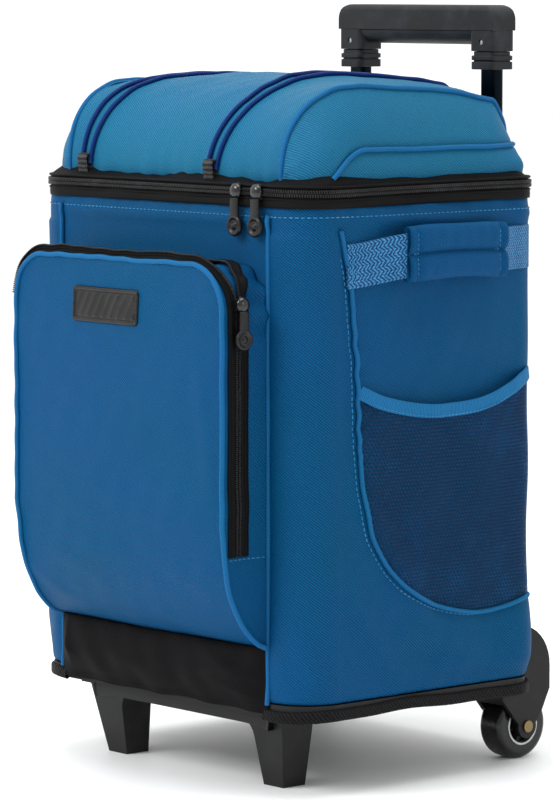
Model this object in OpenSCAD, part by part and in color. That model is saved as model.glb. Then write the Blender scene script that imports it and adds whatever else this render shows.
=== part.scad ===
// Soft-sided cooler on wheels with a telescoping pull handle.
// X is the width, Y runs from the front panel to the back panel, Z is up.
// The origin lies on the floor under the middle of the bag.

/* [Bag] */
// Width of the bag
body_w = 320; // [270:1:400]
// Depth of the bag from front panel to back panel
body_d = 242; // [205:1:300]
// Height of the lower edge of the bag above the floor
base_z = 70; // [68:1:80]
// Height of the closed main zipper above the floor
zip_z = 449; // [410:1:540]
// Plan radius of the two front corners
front_r = 37; // [20:1:50]
// Plan radius of the two back corners
back_r = 22; // [12:1:30]
// Thickness of the sewn fabric
fabric_t = 1.5; // [1:0.1:2.5]
// Thickness of the insulating foam
foam_t = 8.5; // [4:0.5:14]
// Thickness of the moulded tub liner
liner_t = 2; // [1.5:0.1:4]

/* [Lid] */
// Height of the lid's crest above the zipper
lid_h = 81; // [60:1:110]
// Distance from the bag's side to the lid's side
lid_inset = 9; // [6:1:14]
// Radius of the lid's front shoulder
lid_shoulder_r = 40; // [25:1:50]
// Height of the lid's back edge above the zipper
lid_back_h = 32; // [26:1:40]
// Diameter of the elastic cords on the lid
cord_d = 3.6; // [2.5:0.1:5]
// Distance between the middles of the two cord pairs
cord_pair_gap = 150; // [110:1:170]

/* [Front pocket] */
// Width of the front pocket
pocket_w = 244; // [200:1:246]
// Depth of the front pocket
pocket_d = 45; // [30:1:55]
// Height of the pocket's top edge above the floor
pocket_top_z = 403; // [330:1:408]
// Height of the pocket's bottom seam above the floor
pocket_low_z = 112; // [100:1:130]
// Radius of the pocket's two top corners
pocket_r = 27; // [12:1:40]
// Width of the pocket's zipper tape
pocket_tape_w = 20; // [16:1:24]

/* [Side pockets and carry handles] */
// How far a mesh pocket stands out
mesh_depth = 10; // [8:1:16]
// Radius of the mesh pocket's rounded lower front
mesh_r = 120; // [90:1:130]
// Width of the carry handle webbing
strap_w = 33; // [25:1:40]
// Gap for the fingers behind a carry handle
finger_gap = 7; // [6:0.5:14]
// Length of the padded wrap on a carry handle
wrap_l = 100; // [80:1:120]

/* [Base] */
// Height of the underside of the base above the floor
floor_gap = 60; // [56:1:62]
// Thickness of the base board
board_t = 6; // [4:0.5:10]
// Distance between the outsides of the two front legs at the top
leg_span = 228; // [200:1:250]
// Width of a front leg at the floor
leg_foot_w = 22; // [16:1:30]
// Depth of a front leg at the floor
leg_foot_d = 22; // [16:1:30]
// Depth of a front leg at the top
leg_top_d = 32; // [24:1:40]

/* [Wheels] */
// Radius of a wheel
wheel_r = 26; // [20:0.5:30]
// Width of a wheel
wheel_w = 23; // [16:0.5:26]
// Distance between the middles of the two wheels
wheel_span = 244; // [200:1:250]
// Radius of an axle
axle_r = 3; // [2:0.1:4]
// Radial clearance of a running fit
run_gap = 0.05; // [0.02:0.01:0.1]
// Distance of the axles behind the back panel
axle_back = 10; // [8:0.5:12]

/* [Pull handle] */
// Distance between the middles of the two handle tubes
tube_span = 152; // [120:1:170]
// Distance of the tubes' middle behind the back panel
tube_back = 29; // [27:0.5:34]
// Width of an inner tube
inner_w = 18; // [14:0.5:20]
// Depth of an inner tube
inner_d = 11; // [9:0.5:13]
// How far the handle stands out of its stowed place
handle_out = 95; // [20:1:150]
// Length of an outer tube
outer_l = 364; // [320:1:370]

/* [Hidden] */

$fn = 48;
eps = 0.01;
half_w = body_w / 2;
half_d = body_d / 2;
front_y = -half_d;
back_y = half_d;
// Gap that keeps two pieces of the same body from sharing volume
touch = 0.2;
// Gap that keeps two bodies apart while they move
free_gap = 0.4;
blue = "#1c6a9c";
light_blue = "#2f86b4";
black = "#1d1d1f";
grey = "#3a3b3d";

// Zipper
tape_h = 12.5;
chain_h = 2.6;
chain_out = 1.4;
blue_top_z = zip_z - tape_h;
slider_w = 9;
slider_h = 11;
left_slider_x = 90;
slider_gap = 23;
pin_r = 1;
puller_t = 2.2;
puller_l = 30;
puller_disc_r = 7;

// Lid outline, seen from the side
lid_front_y = front_y + lid_inset;
lid_back_y = back_y - lid_inset + 1;
lid_top_z = zip_z + lid_h;
lid_crest_y = -20;
lid_bow = 0.002;
lid_slope_y = back_y - 29;
lid_lean = 1.5;
shoulder_y = lid_front_y + lid_lean + lid_shoulder_r;
shoulder_z = crest_z(shoulder_y) - lid_shoulder_r;
lid_steps = 8;
lid_opening_z = zip_z + 7;
tab_w = 12;
tab_h = 13;
tab_t = 3;
cord_gap = 9;

// Front pocket
pocket_wall = 2;
pocket_front_y = front_y - pocket_d;
pocket_back_y = front_y - touch;
pocket_tape_y = pocket_front_y + 6;
pocket_tape_low_z = pocket_low_z + 70;
pocket_slider_z = pocket_top_z - 35;
mouth_w = pocket_w - 74;

// Side pockets, in the YZ plane
mesh_front_y = front_y + 56;
mesh_back_y = back_y - 9;
mesh_low_z = base_z + 58;
mesh_cy = mesh_front_y + mesh_r;
mesh_cz = mesh_low_z + mesh_r;
mesh_edge_z = mesh_low_z + 156;
mesh_sag_r = 188;
mesh_sag_y = 20;
binding_w = 9.5;
binding_t = 2.4;

// Carry handles
strap_t = 1.8;
strap_z = blue_top_z - 39;
strap_front_y = front_y + 42;
strap_back_y = back_y - 9;
strap_sewn_l = 15;
wrap_front_y = strap_front_y + 58;
wrap_h = strap_w + 8;
wrap_t = 11;

// Base
cover_t = 1.6;
cover_top_z = base_z - touch;
board_z = floor_gap + cover_t + touch;
bracket_t = 6;
bracket_w = leg_span + 24;
bracket_front_y = front_y + 20;
bracket_z = floor_gap - touch - bracket_t;
leg_foot_x = leg_span / 2 - 10;
leg_rear_y = bracket_front_y + leg_top_d;
arch_w = 112;
arch_rise = 17;
arch_steps = 6;
screw_r = 2;
screw_x = leg_foot_x - leg_foot_w / 2 + 3;

// Wheels
wheel_x = wheel_span / 2;
axle_y = back_y + axle_back;
axle_z = wheel_r;
hub_r = wheel_r * 0.6;
bush_r = axle_r + 2.5;
fork_gap = wheel_w + 3;
fork_t = 4;
fork_w = fork_gap + 2 * fork_t;
housing_r = 34;
housing_z = axle_z + 46;
boss_r = 9.5;
well_r = wheel_r + 3;

// Pull handle
tube_y = back_y + tube_back;
tube_wall = 1.5;
slide_gap = 0.5;
mid_w = inner_w + 2 * (slide_gap + tube_wall);
mid_d = inner_d + 2 * (slide_gap + tube_wall);
outer_w = mid_w + 2 * (slide_gap + tube_wall);
outer_d = mid_d + 2 * (slide_gap + tube_wall);
outer_z = base_z - 2;
outer_top_z = outer_z + outer_l;
mid_z = outer_z + 6;
guide_h = 16;
collar_z = outer_top_z + 0.6;
mid_top_z = collar_z + 3;
collar_top_z = mid_top_z + 2.5;
grip_low_z = collar_top_z + 1.4 + handle_out;
ferrule_h = 14;
knuckle_z = grip_low_z + ferrule_h + touch;
grip_split_z = knuckle_z + 16;
grip_top_z = grip_split_z + 20;
grip_d = 25;
knuckle_w = 27;
grip_half_w = tube_span / 2 + knuckle_w / 2;
grip_bar_r = 11;
inner_top_z = grip_split_z + 9;
inner_z = mid_z + 10 + handle_out;
crossbar_z = base_z - 6;
crossbar_h = 22;
sleeve_w = tube_span + outer_w + 18;
sleeve_d = tube_back + outer_d / 2 + 2;

// ---------- shared outlines ----------

// The bag's plan outline, drawn in from its outside by inset
module plan(inset = 0) {
  hw = half_w - inset;
  hd = half_d - inset;
  rf = max(front_r - inset, 1);
  rb = max(back_r - inset, 1);
  for (s = [-1, 1]) {
    translate([s * (hw - rf), -hd + rf]) circle(rf);
    translate([s * (hw - rb), hd - rb]) circle(rb);
  }
  polygon([[-hw + rf, -hd], [hw - rf, -hd], [hw, -hd + rf], [hw, hd - rb],
    [hw - rb, hd], [-hw + rb, hd], [-hw, hd - rb], [-hw, -hd + rf]]);
}

// A plate with the bag's plan, from height z
module plate(z, h, inset = 0) {
  translate([0, 0, z]) linear_extrude(h) plan(inset);
}

// An upright wall that follows the bag's plan
module wall(z, h, outer, inner) {
  translate([0, 0, z]) linear_extrude(h) difference() {
    plan(outer);
    plan(inner);
  }
}

// A rectangle with round corners, centred
module soft_rect(w, h, r) {
  square([w - 2 * r, h], center = true);
  square([w, h - 2 * r], center = true);
  for (sx = [-1, 1]) for (sy = [-1, 1])
    translate([sx * (w / 2 - r), sy * (h / 2 - r)]) circle(r);
}

// Extrudes an outline drawn in (y, z) along X, from x
module along_x(x, l) {
  translate([x, 0, 0]) rotate([90, 0, 90]) linear_extrude(l) children();
}

// Extrudes an outline drawn in (x, z) along Y, from y
module along_y(y, l) {
  translate([0, y + l, 0]) rotate([90, 0, 0]) linear_extrude(l) children();
}

// A mirrored copy on the left, the shape itself on the right
module on_side(side) {
  if (side < 0) mirror([1, 0, 0]) children();
  else children();
}

// ---------- base and wheels ----------

module screw_holes(z, h) {
  for (s = [-1, 1])
    translate([s * screw_x, bracket_front_y + leg_top_d / 2, z]) cylinder(r = screw_r + run_gap, h = h);
}

module base_board() {
  color(grey) difference() {
    plate(board_z, board_t, cover_t + 1);
    screw_holes(board_z - 1, board_t + 2);
  }
}

module base_cover() {
  color(black) difference() {
    plate(floor_gap, cover_top_z - floor_gap, 0.5);
    plate(floor_gap + cover_t, cover_top_z, cover_t + 0.6);
    screw_holes(floor_gap - 1, cover_t + 2);
  }
}

// The bracket seen from the front: a flat apron on two tapered legs, with an arch between them
module bracket_front() {
  foot_in = leg_foot_x - leg_foot_w;
  arch_out = foot_in - 3 - arch_w / 2;
  corner = [for (i = [0:arch_steps]) let (a = 90 * i / arch_steps)
    [arch_w / 2 + arch_out * cos(a), bracket_z - arch_rise + arch_rise * sin(a)]];
  half = concat([[0, bracket_z + bracket_t], [bracket_w / 2, bracket_z + bracket_t], [bracket_w / 2, bracket_z],
    [leg_span / 2, bracket_z], [leg_foot_x, 0], [foot_in, 0]], corner, [[0, bracket_z]]);
  for (s = [0, 1]) mirror([s, 0]) polygon(half);
}

// The bracket seen from the side: the legs narrow towards the floor
module bracket_side() {
  foot_front_y = leg_rear_y - leg_foot_d;
  polygon([[bracket_front_y, bracket_z + bracket_t], [bracket_front_y, bracket_z],
    [foot_front_y, 0], [leg_rear_y, 0], [leg_rear_y, bracket_z + bracket_t]]);
}

module front_leg_bracket() {
  color(black) difference() {
    intersection() {
      along_y(bracket_front_y - 1, leg_top_d + 2) bracket_front();
      along_x(-bracket_w, 2 * bracket_w) bracket_side();
    }
    screw_holes(bracket_z - 1, bracket_t + 2);
    for (s = [-1, 1])
      translate([s * screw_x, bracket_front_y + leg_top_d / 2, -1]) cylinder(r = 5, h = bracket_z + 2);
    for (s = [-1, 1])
      translate([s * (screw_x - 15), bracket_front_y - 1, bracket_z + bracket_t - 1.5]) rotate([-90, 0, 0])
        cylinder(r = screw_r, h = 5);
  }
}

module bracket_screws() {
  color("silver") for (s = [-1, 1])
    translate([s * screw_x, bracket_front_y + leg_top_d / 2, 0]) {
      translate([0, 0, bracket_z]) cylinder(r = screw_r, h = board_z + board_t - bracket_z - 1);
      translate([0, 0, bracket_z - 2]) cylinder(r = 4, h = 3 - touch);
    }
}

// Side outline of a wheel housing, in (y, z): round top and back, drawn in to a boss round the axle
module housing_side() {
  y0 = back_y + touch;
  steps = 10;
  round_top = [for (i = [0:steps]) let (a = 90 - 90 * i / steps)
    [y0 + housing_r * cos(a), housing_z + housing_r * sin(a)]];
  translate([axle_y, axle_z]) circle(boss_r);
  polygon(concat([[y0, floor_gap - touch]], round_top,
    [[y0 + housing_r, axle_z + 28], [y0 + housing_r - 9, axle_z + 10], [axle_y + boss_r - 2, axle_z],
    [axle_y - boss_r + 2, axle_z], [y0 - 17, floor_gap - 11], [y0 - 17, floor_gap - touch]]));
}

module wheel_housing(side) {
  color(black) on_side(side) difference() {
    along_x(wheel_x - fork_w / 2, fork_w) housing_side();
    along_x(wheel_x - fork_gap / 2, fork_gap) {
      translate([axle_y, axle_z]) circle(well_r);
      translate([axle_y - 40, -1]) square([80, axle_z + 1]);
      translate([axle_y, axle_z - 1]) square([40, 20]);
    }
    translate([wheel_x - fork_w, axle_y, axle_z]) rotate([0, 90, 0]) cylinder(r = axle_r + run_gap, h = 2 * fork_w);
    for (dx = [-8, 8]) translate([wheel_x + dx, back_y - 1, housing_z + 12])
      rotate([-90, 0, 0]) cylinder(r = screw_r + run_gap, h = 12);
    for (i = [0:5]) translate([wheel_x, back_y + touch, housing_z]) rotate([12 + i * 13, 0, 0])
      translate([-fork_gap / 2, housing_r - 1.2, -1]) cube([fork_gap, 3, 2]);
  }
}
module left_wheel_housing() { wheel_housing(-1); }
module right_wheel_housing() { wheel_housing(1); }

// Screws through the back panel into the wheel housings
module housing_screws() {
  color("silver") for (s = [-1, 1]) for (dx = [-8, 8])
    translate([s * wheel_x + dx, back_y + touch, housing_z + 12])
      rotate([-90, 0, 0]) cylinder(r = screw_r, h = 10);
}

module axle(side) {
  color("#6b5f4a") on_side(side) translate([wheel_x - fork_w / 2 - 1.5, axle_y, axle_z]) rotate([0, 90, 0]) {
    cylinder(r = axle_r, h = fork_w + 3);
    cylinder(r = 4.6, h = 1.5 - touch / 4);
    translate([0, 0, fork_w + 1.5 + touch / 4]) cylinder(r = 4.6, h = 1.5);
  }
}
module left_axle() { axle(-1); }
module right_axle() { axle(1); }

// Turns a wheel piece drawn about Z onto an axle
module on_axle(side) {
  translate([side * wheel_x, axle_y, axle_z]) rotate([0, 90, 0]) children();
}

module tyre(side) {
  edge_r = min(5, (wheel_r - hub_r) / 2 - 0.1);
  color(black) on_axle(side) rotate_extrude($fn = 96) {
    translate([hub_r, -wheel_w / 2]) square([wheel_r - hub_r - edge_r, wheel_w]);
    translate([hub_r, -wheel_w / 2 + edge_r]) square([wheel_r - hub_r, wheel_w - 2 * edge_r]);
    for (s = [-1, 1]) translate([wheel_r - edge_r, s * (wheel_w / 2 - edge_r)]) circle(edge_r);
  }
}
module left_tyre() { tyre(-1); }
module right_tyre() { tyre(1); }

module hub(side) {
  web_w = wheel_w * 0.5;
  color(grey) on_axle(side) rotate_extrude($fn = 96) {
    translate([hub_r - 3, -wheel_w / 2 + 1]) square([3 - touch / 10, wheel_w - 2]);
    translate([bush_r + 1, -web_w / 2]) square([hub_r - bush_r - 2, web_w]);
    translate([bush_r + touch / 10, -wheel_w / 2 - 0.5]) square([3.5, wheel_w + 1]);
  }
}
module left_hub() { hub(-1); }
module right_hub() { hub(1); }

// Plain metal sleeve that turns on the axle
module bush(side) {
  color("silver") on_axle(side) rotate_extrude($fn = 96)
    translate([axle_r + run_gap, -wheel_w / 2 - 1]) square([bush_r - axle_r - run_gap, wheel_w + 2]);
}
module left_bush() { bush(-1); }
module right_bush() { bush(1); }

// ---------- pull handle ----------

// A hollow tube with round corners, seen from above at one side
module tube(side, w, d, z, h) {
  r = 4;
  translate([side * tube_span / 2, tube_y, z]) linear_extrude(h) difference() {
    soft_rect(w, d, r);
    soft_rect(w - 2 * tube_wall, d - 2 * tube_wall, r - tube_wall);
  }
}

// Holes for both tubes through a block
module tube_holes(w, d, z, h) {
  for (s = [-1, 1]) translate([s * tube_span / 2, tube_y, z]) linear_extrude(h)
    soft_rect(w + 2 * touch, d + 2 * touch, 4 + touch);
}

module left_outer_tube() { color(black) tube(-1, outer_w, outer_d, outer_z, outer_l); }
module right_outer_tube() { color(black) tube(1, outer_w, outer_d, outer_z, outer_l); }
module left_mid_tube() { color(black) tube(-1, mid_w, mid_d, mid_z, mid_top_z - mid_z); }
module right_mid_tube() { color(black) tube(1, mid_w, mid_d, mid_z, mid_top_z - mid_z); }

module inner_tube(side) {
  color(black) difference() {
    tube(side, inner_w, inner_d, inner_z, inner_top_z - inner_z);
    rivet_holes();
  }
}
module left_inner_tube() { inner_tube(-1); }
module right_inner_tube() { inner_tube(1); }

// Moulded block between the wheel housings that holds the tubes' lower ends
module rear_crossbar() {
  l = 2 * (wheel_x - fork_w / 2 - touch);
  color(black) difference() {
    translate([-l / 2, back_y + touch, crossbar_z]) cube([l, sleeve_d, crossbar_h]);
    tube_holes(outer_w, outer_d, outer_z - touch, crossbar_h + 10);
  }
}

// Moulded guide that holds the tubes' upper ends
module handle_top_guide() {
  color(black) difference() {
    translate([-sleeve_w / 2, back_y + touch, outer_top_z - guide_h]) cube([sleeve_w, sleeve_d, guide_h]);
    tube_holes(outer_w, outer_d, outer_top_z - guide_h - 1, guide_h + 2);
  }
}

module mid_tube_collars() {
  color(grey) for (s = [-1, 1]) translate([s * tube_span / 2, tube_y, 0]) difference() {
    translate([0, 0, collar_z]) linear_extrude(collar_top_z - collar_z) soft_rect(outer_w, outer_d, 4);
    translate([0, 0, collar_z - 1]) linear_extrude(mid_top_z - collar_z + 1) soft_rect(mid_w + touch, mid_d + touch, 4);
    translate([0, 0, collar_z - 1]) linear_extrude(10) soft_rect(inner_w + 2 * touch, inner_d + 2 * touch, 4);
  }
}

// Plastic feet that guide a tube inside the next one
module plugs(w, d, z) {
  h = 5;
  for (s = [-1, 1]) translate([s * tube_span / 2, tube_y, z - h]) linear_extrude(h - eps)
    soft_rect(w + 2 * slide_gap - touch, d + 2 * slide_gap - touch, 4);
}
module mid_tube_plugs() { color(grey) plugs(mid_w, mid_d, mid_z); }
module inner_tube_plugs() { color(grey) plugs(inner_w, inner_d, inner_z); }

module rivet_holes() {
  for (s = [-1, 1]) translate([s * tube_span / 2, tube_y - grip_d, knuckle_z + 7])
    rotate([-90, 0, 0]) cylinder(r = screw_r + run_gap, h = 2 * grip_d);
}

module grip_upper_shell() {
  end_r = 12;
  h = grip_top_z - grip_split_z;
  color(grey) difference() {
    intersection() {
      along_y(tube_y - grip_d / 2, grip_d) {
        translate([-grip_half_w, grip_split_z]) square([2 * grip_half_w, h - end_r]);
        translate([-grip_half_w + end_r, grip_split_z]) square([2 * (grip_half_w - end_r), h]);
        for (s = [-1, 1]) translate([s * (grip_half_w - end_r), grip_top_z - end_r]) circle(end_r);
      }
      along_x(-grip_half_w, 2 * grip_half_w) translate([tube_y, grip_split_z]) {
        edge = 5;
        translate([-grip_d / 2, 0]) square([grip_d, h - edge]);
        translate([-grip_d / 2 + edge, 0]) square([grip_d - 2 * edge, h]);
        for (s = [-1, 1]) translate([s * (grip_d / 2 - edge), h - edge]) circle(edge);
      }
    }
    tube_holes(inner_w, inner_d, grip_split_z - 1, inner_top_z - grip_split_z + 1 + touch);
  }
}

module grip_lower_shell() {
  top = grip_split_z - touch / 4;
  color(grey) difference() {
    union() {
      for (s = [-1, 1]) translate([s * tube_span / 2, tube_y, knuckle_z]) linear_extrude(top - knuckle_z)
        soft_rect(knuckle_w, grip_d, 5);
      intersection() {
        translate([-tube_span / 2, tube_y, grip_split_z]) rotate([0, 90, 0]) cylinder(r = grip_bar_r, h = tube_span);
        translate([-tube_span / 2, tube_y - grip_d / 2, knuckle_z]) cube([tube_span, grip_d, top - knuckle_z]);
      }
    }
    tube_holes(inner_w, inner_d, knuckle_z - 1, 30);
    rivet_holes();
  }
}

// Ferrules with two grooves under the grip
module grip_collars() {
  groove = 1.2;
  color(grey) for (s = [-1, 1]) difference() {
    translate([s * tube_span / 2, tube_y, 0]) union() {
      translate([0, 0, grip_low_z]) linear_extrude(ferrule_h) soft_rect(knuckle_w - 3, grip_d - 3, 5);
      for (z = [0, 6 + groove]) translate([0, 0, grip_low_z + z]) linear_extrude(6 - z / 3)
        soft_rect(knuckle_w - 1, grip_d, 5);
    }
    tube_holes(inner_w, inner_d, grip_low_z - 1, ferrule_h + 2);
  }
}

module grip_rivets() {
  color("silver") for (s = [-1, 1]) translate([s * tube_span / 2, tube_y - grip_d / 2 + 1, knuckle_z + 7])
    rotate([-90, 0, 0]) cylinder(r = screw_r, h = grip_d - 2);
}

// Fabric sleeve that covers the tubes on the back panel
module back_sleeve() {
  z0 = crossbar_z + crossbar_h + touch;
  z1 = outer_top_z - guide_h - touch;
  color(black) difference() {
    translate([-sleeve_w / 2, back_y + touch, z0]) cube([sleeve_w, sleeve_d, z1 - z0]);
    translate([-sleeve_w / 2 + fabric_t, back_y, z0 - 1]) cube([sleeve_w - 2 * fabric_t, sleeve_d + touch - fabric_t, z1 - z0 + 2]);
  }
}

// ---------- bag ----------

module bag_shell() {
  color(blue) difference() {
    plate(base_z, blue_top_z - base_z);
    plate(base_z + fabric_t, blue_top_z, fabric_t);
  }
}

module foam_lining() {
  z = base_z + fabric_t + touch;
  color("white") difference() {
    plate(z, blue_top_z - z - 2, fabric_t + touch);
    plate(z + foam_t, blue_top_z, fabric_t + touch + foam_t);
  }
}

module tub_liner() {
  inset = fabric_t + foam_t + 2 * touch;
  z = base_z + fabric_t + foam_t + 2 * touch;
  color("gainsboro") difference() {
    union() {
      plate(z, blue_top_z - z, inset);
      plate(blue_top_z - 2 + touch, 2, fabric_t + touch);
    }
    plate(z + liner_t, blue_top_z, inset + liner_t);
  }
}

// Black panel under the front pocket
module front_boot() {
  color(black) along_y(front_y - touch - fabric_t, fabric_t)
    translate([-pocket_w / 2, base_z + 1]) square([pocket_w, pocket_low_z - base_z - 1.5]);
}

// Pocket outline from the front, drawn in by inset
module pocket_front_outline(inset = 0) {
  hw = pocket_w / 2 - inset;
  top = pocket_top_z - inset;
  low = pocket_low_z + inset / 2;
  r = max(pocket_r - inset, 1);
  translate([-hw, low]) square([2 * hw, top - r - low]);
  translate([-hw + r, low]) square([2 * (hw - r), top - low]);
  for (s = [-1, 1]) translate([s * (hw - r), top - r]) circle(r);
}

// Pocket outline from the side: full depth above, drawn in to the bag below
module pocket_side_outline(inset = 0) {
  f = pocket_front_y + inset;
  polygon([[pocket_back_y, pocket_low_z + inset], [pocket_back_y - 14, pocket_low_z + 13 + inset],
    [pocket_back_y - 24, pocket_low_z + 22 + inset], [f + 6, pocket_low_z + 52 + inset],
    [f, pocket_low_z + 88], [f, pocket_top_z], [pocket_back_y, pocket_top_z]]);
}

module front_pocket() {
  color(blue) difference() {
    intersection() {
      along_y(pocket_front_y, pocket_back_y - pocket_front_y) pocket_front_outline();
      along_x(-pocket_w, 2 * pocket_w) pocket_side_outline();
    }
    intersection() {
      along_y(pocket_front_y, pocket_d + 5) pocket_front_outline(pocket_wall);
      along_x(-pocket_w, 2 * pocket_w) {
        pocket_side_outline(pocket_wall);
        translate([pocket_back_y - 1, pocket_low_z + pocket_wall]) square([5, pocket_top_z - pocket_low_z]);
      }
    }
    translate([-mouth_w / 2, pocket_tape_y + pocket_tape_w + 1, pocket_top_z - 10])
      cube([mouth_w, pocket_d, 20]);
  }
}

// Tape and chain that run up the right gusset and along the top
module pocket_zipper() {
  tape_t = 0.8;
  color(black) difference() {
    union() {
      pocket_band(pocket_tape_y, pocket_tape_w, tape_t);
      pocket_band(pocket_tape_y + pocket_tape_w / 2 - 3, 6, tape_t + 1);
    }
    translate([-pocket_w, pocket_front_y - 1, 0])
      cube([2 * pocket_w, pocket_d, pocket_tape_low_z]);
    translate([-pocket_w, pocket_front_y - 1, 0])
      cube([pocket_w * 0.52, pocket_d, pocket_top_z - pocket_r]);
  }
}

// A band on the outside of the pocket's gusset
module pocket_band(y, w, t) {
  along_y(y, w) difference() {
    pocket_front_outline(-t - eps);
    pocket_front_outline(-eps);
    translate([-pocket_w, 0]) square([2 * pocket_w, pocket_low_z + 10]);
  }
}

// A rubber patch with slanted ribs
module badge() {
  w = 78;
  h = 27;
  color(grey) {
    along_y(pocket_front_y - touch - 1.6, 1.6) translate([-8, pocket_top_z - 42]) soft_rect(w, h, 4);
    for (i = [-2:2]) along_y(pocket_front_y - touch - 2.4, 1) translate([-8 + i * 9, pocket_top_z - 42])
      polygon([[-5, -7], [-1, -7], [5, 7], [1, 7]]);
  }
}

// Mesh pocket outline in (y, z): a round lower front, straight back
module mesh_outline(inset = 0) {
  r = mesh_r - inset;
  back = mesh_back_y - inset;
  difference() {
    union() {
      intersection() {
        translate([mesh_cy, mesh_cz]) circle(r, $fn = 96);
        translate([mesh_cy - r, mesh_cz - r]) square([r, r]);
      }
      translate([mesh_cy - r, mesh_cz - eps]) square([back - mesh_cy + r, mesh_edge_z + 40 - mesh_cz]);
      translate([mesh_cy - eps, mesh_low_z + inset]) square([back - mesh_cy, r + eps]);
    }
    translate([mesh_sag_y, mesh_edge_z + mesh_sag_r]) circle(mesh_sag_r, $fn = 96);
  }
}

module mesh_pocket(side) {
  t = 1.2;
  color("#15406a") on_side(side) difference() {
    along_x(half_w + touch, mesh_depth - touch) mesh_outline();
    along_x(half_w - 1, mesh_depth + 1 - t) {
      mesh_outline(2);
      intersection() {
        translate([mesh_cy - mesh_r + 2, mesh_edge_z - 60]) square([mesh_back_y - mesh_cy + mesh_r - 4, 200]);
        mesh_outline(1);
      }
    }
  }
}
module left_mesh_pocket() { mesh_pocket(-1); }
module right_mesh_pocket() { mesh_pocket(1); }

// Elastic edge of a mesh pocket
module mesh_binding(side) {
  color(light_blue) on_side(side) along_x(half_w + mesh_depth - binding_t, binding_t)
    intersection() {
      translate([mesh_sag_y, mesh_edge_z + mesh_sag_r]) difference() {
        circle(mesh_sag_r - touch, $fn = 96);
        circle(mesh_sag_r - binding_w, $fn = 96);
      }
      translate([mesh_cy - mesh_r, mesh_edge_z - 5]) square([mesh_back_y - mesh_cy + mesh_r, 40]);
    }
}
module left_mesh_binding() { mesh_binding(-1); }
module right_mesh_binding() { mesh_binding(1); }

// Carry strap seen from above: sewn ends, and a bow between them
module strap_plan(t, grow = 0) {
  x0 = half_w + touch - grow;
  x1 = x0 + finger_gap + wrap_t / 2;
  y0 = strap_front_y;
  y1 = strap_back_y;
  ramp = 36;
  polygon([[x0, y0], [x0, y0 + strap_sewn_l], [x1, y0 + strap_sewn_l + ramp],
    [x1, y1 - strap_sewn_l - 12], [x0, y1 - 6], [x0, y1], [x0 + t, y1], [x0 + t, y1 - 5],
    [x1 + t, y1 - strap_sewn_l - 11], [x1 + t, y0 + strap_sewn_l + ramp - 1],
    [x0 + t, y0 + strap_sewn_l - 1], [x0 + t, y0]]);
}

module strap(side) {
  color(light_blue) on_side(side) translate([0, 0, strap_z - strap_w / 2])
    linear_extrude(strap_w) strap_plan(strap_t);
}
module left_strap() { strap(-1); }
module right_strap() { strap(1); }

module grip_wrap(side) {
  x0 = half_w + touch + finger_gap;
  color(blue) on_side(side) difference() {
    translate([x0 + wrap_t / 2, wrap_front_y, strap_z])
      rotate([-90, 0, 0]) linear_extrude(wrap_l) soft_rect(wrap_t, wrap_h, 4.5);
    translate([x0 + wrap_t / 2 - touch, wrap_front_y - 1, strap_z - strap_w / 2 - touch])
      cube([strap_t + 2 * touch, wrap_l + 2, strap_w + 2 * touch]);
  }
}
module left_grip_wrap() { grip_wrap(-1); }
module right_grip_wrap() { grip_wrap(1); }

// ---------- main zipper ----------

// Keeps the front and the sides of a ring, and leaves out the back
module front_and_sides(z, h) {
  intersection() {
    children();
    translate([-body_w, -body_d, z]) cube([2 * body_w, body_d + half_d - back_r, h]);
  }
}

module lower_zipper() {
  color(black) {
    wall(blue_top_z + touch, tape_h - touch - free_gap / 2, 0.3, fabric_t);
    front_and_sides(zip_z - 20, 40) wall(zip_z - free_gap / 2 - chain_h, chain_h, -chain_out, 0.4);
  }
}

module upper_zipper() {
  color(black) front_and_sides(zip_z, 20) wall(zip_z + free_gap / 2, chain_h, -chain_out, 0.4);
}

// Slider drawn about the origin: the chain runs along X, the outside faces -Y
module slider_body() {
  plate_y = -chain_out - free_gap;
  color(grey) {
    translate([-slider_w / 2, plate_y - 1.6, -slider_h / 2]) cube([slider_w, 1.6, slider_h]);
    translate([-slider_w / 2, plate_y - 0.1, -slider_h / 2]) cube([slider_w, 0.1 + chain_out, 1.6]);
    for (s = [-1, 1]) translate([s * 2.4 - 0.6, plate_y - 4.4, -4]) cube([1.2, 2.9, 3]);
    translate([-2.5, plate_y - 3.3, -2.5]) rotate([0, 90, 0]) cylinder(r = pin_r, h = 5);
  }
}

// Puller drawn as it hangs from the slider's pin
module puller_body() {
  pin_y = -chain_out - free_gap - 3.3;
  color(black) translate([0, pin_y, -2.5]) difference() {
    union() {
      translate([-1.6, 0, 0]) rotate([0, 90, 0]) cylinder(r = puller_t / 2 + 0.4, h = 3.2);
      translate([-1.6, -puller_t / 2, -9]) cube([3.2, puller_t, 9]);
      translate([-4, -puller_t / 2, -puller_l + 12]) cube([8, puller_t, 12]);
      translate([0, puller_t / 2, -puller_l + puller_disc_r]) rotate([90, 0, 0]) cylinder(r = puller_disc_r, h = puller_t);
      translate([0, -puller_t / 2 + eps, -puller_l + puller_disc_r]) rotate([90, 0, 0]) cylinder(r = puller_disc_r - 2.4, h = 0.5);
    }
    translate([-5, 0, 0]) rotate([0, 90, 0]) cylinder(r = pin_r + run_gap, h = 10);
  }
}

module at_front_slider(i) {
  translate([left_slider_x + i * slider_gap, front_y, zip_z]) children();
}
module left_slider() { at_front_slider(0) slider_body(); }
module right_slider() { at_front_slider(1) slider_body(); }
module left_puller() { at_front_slider(0) puller_body(); }
module right_puller() { at_front_slider(1) puller_body(); }

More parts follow.
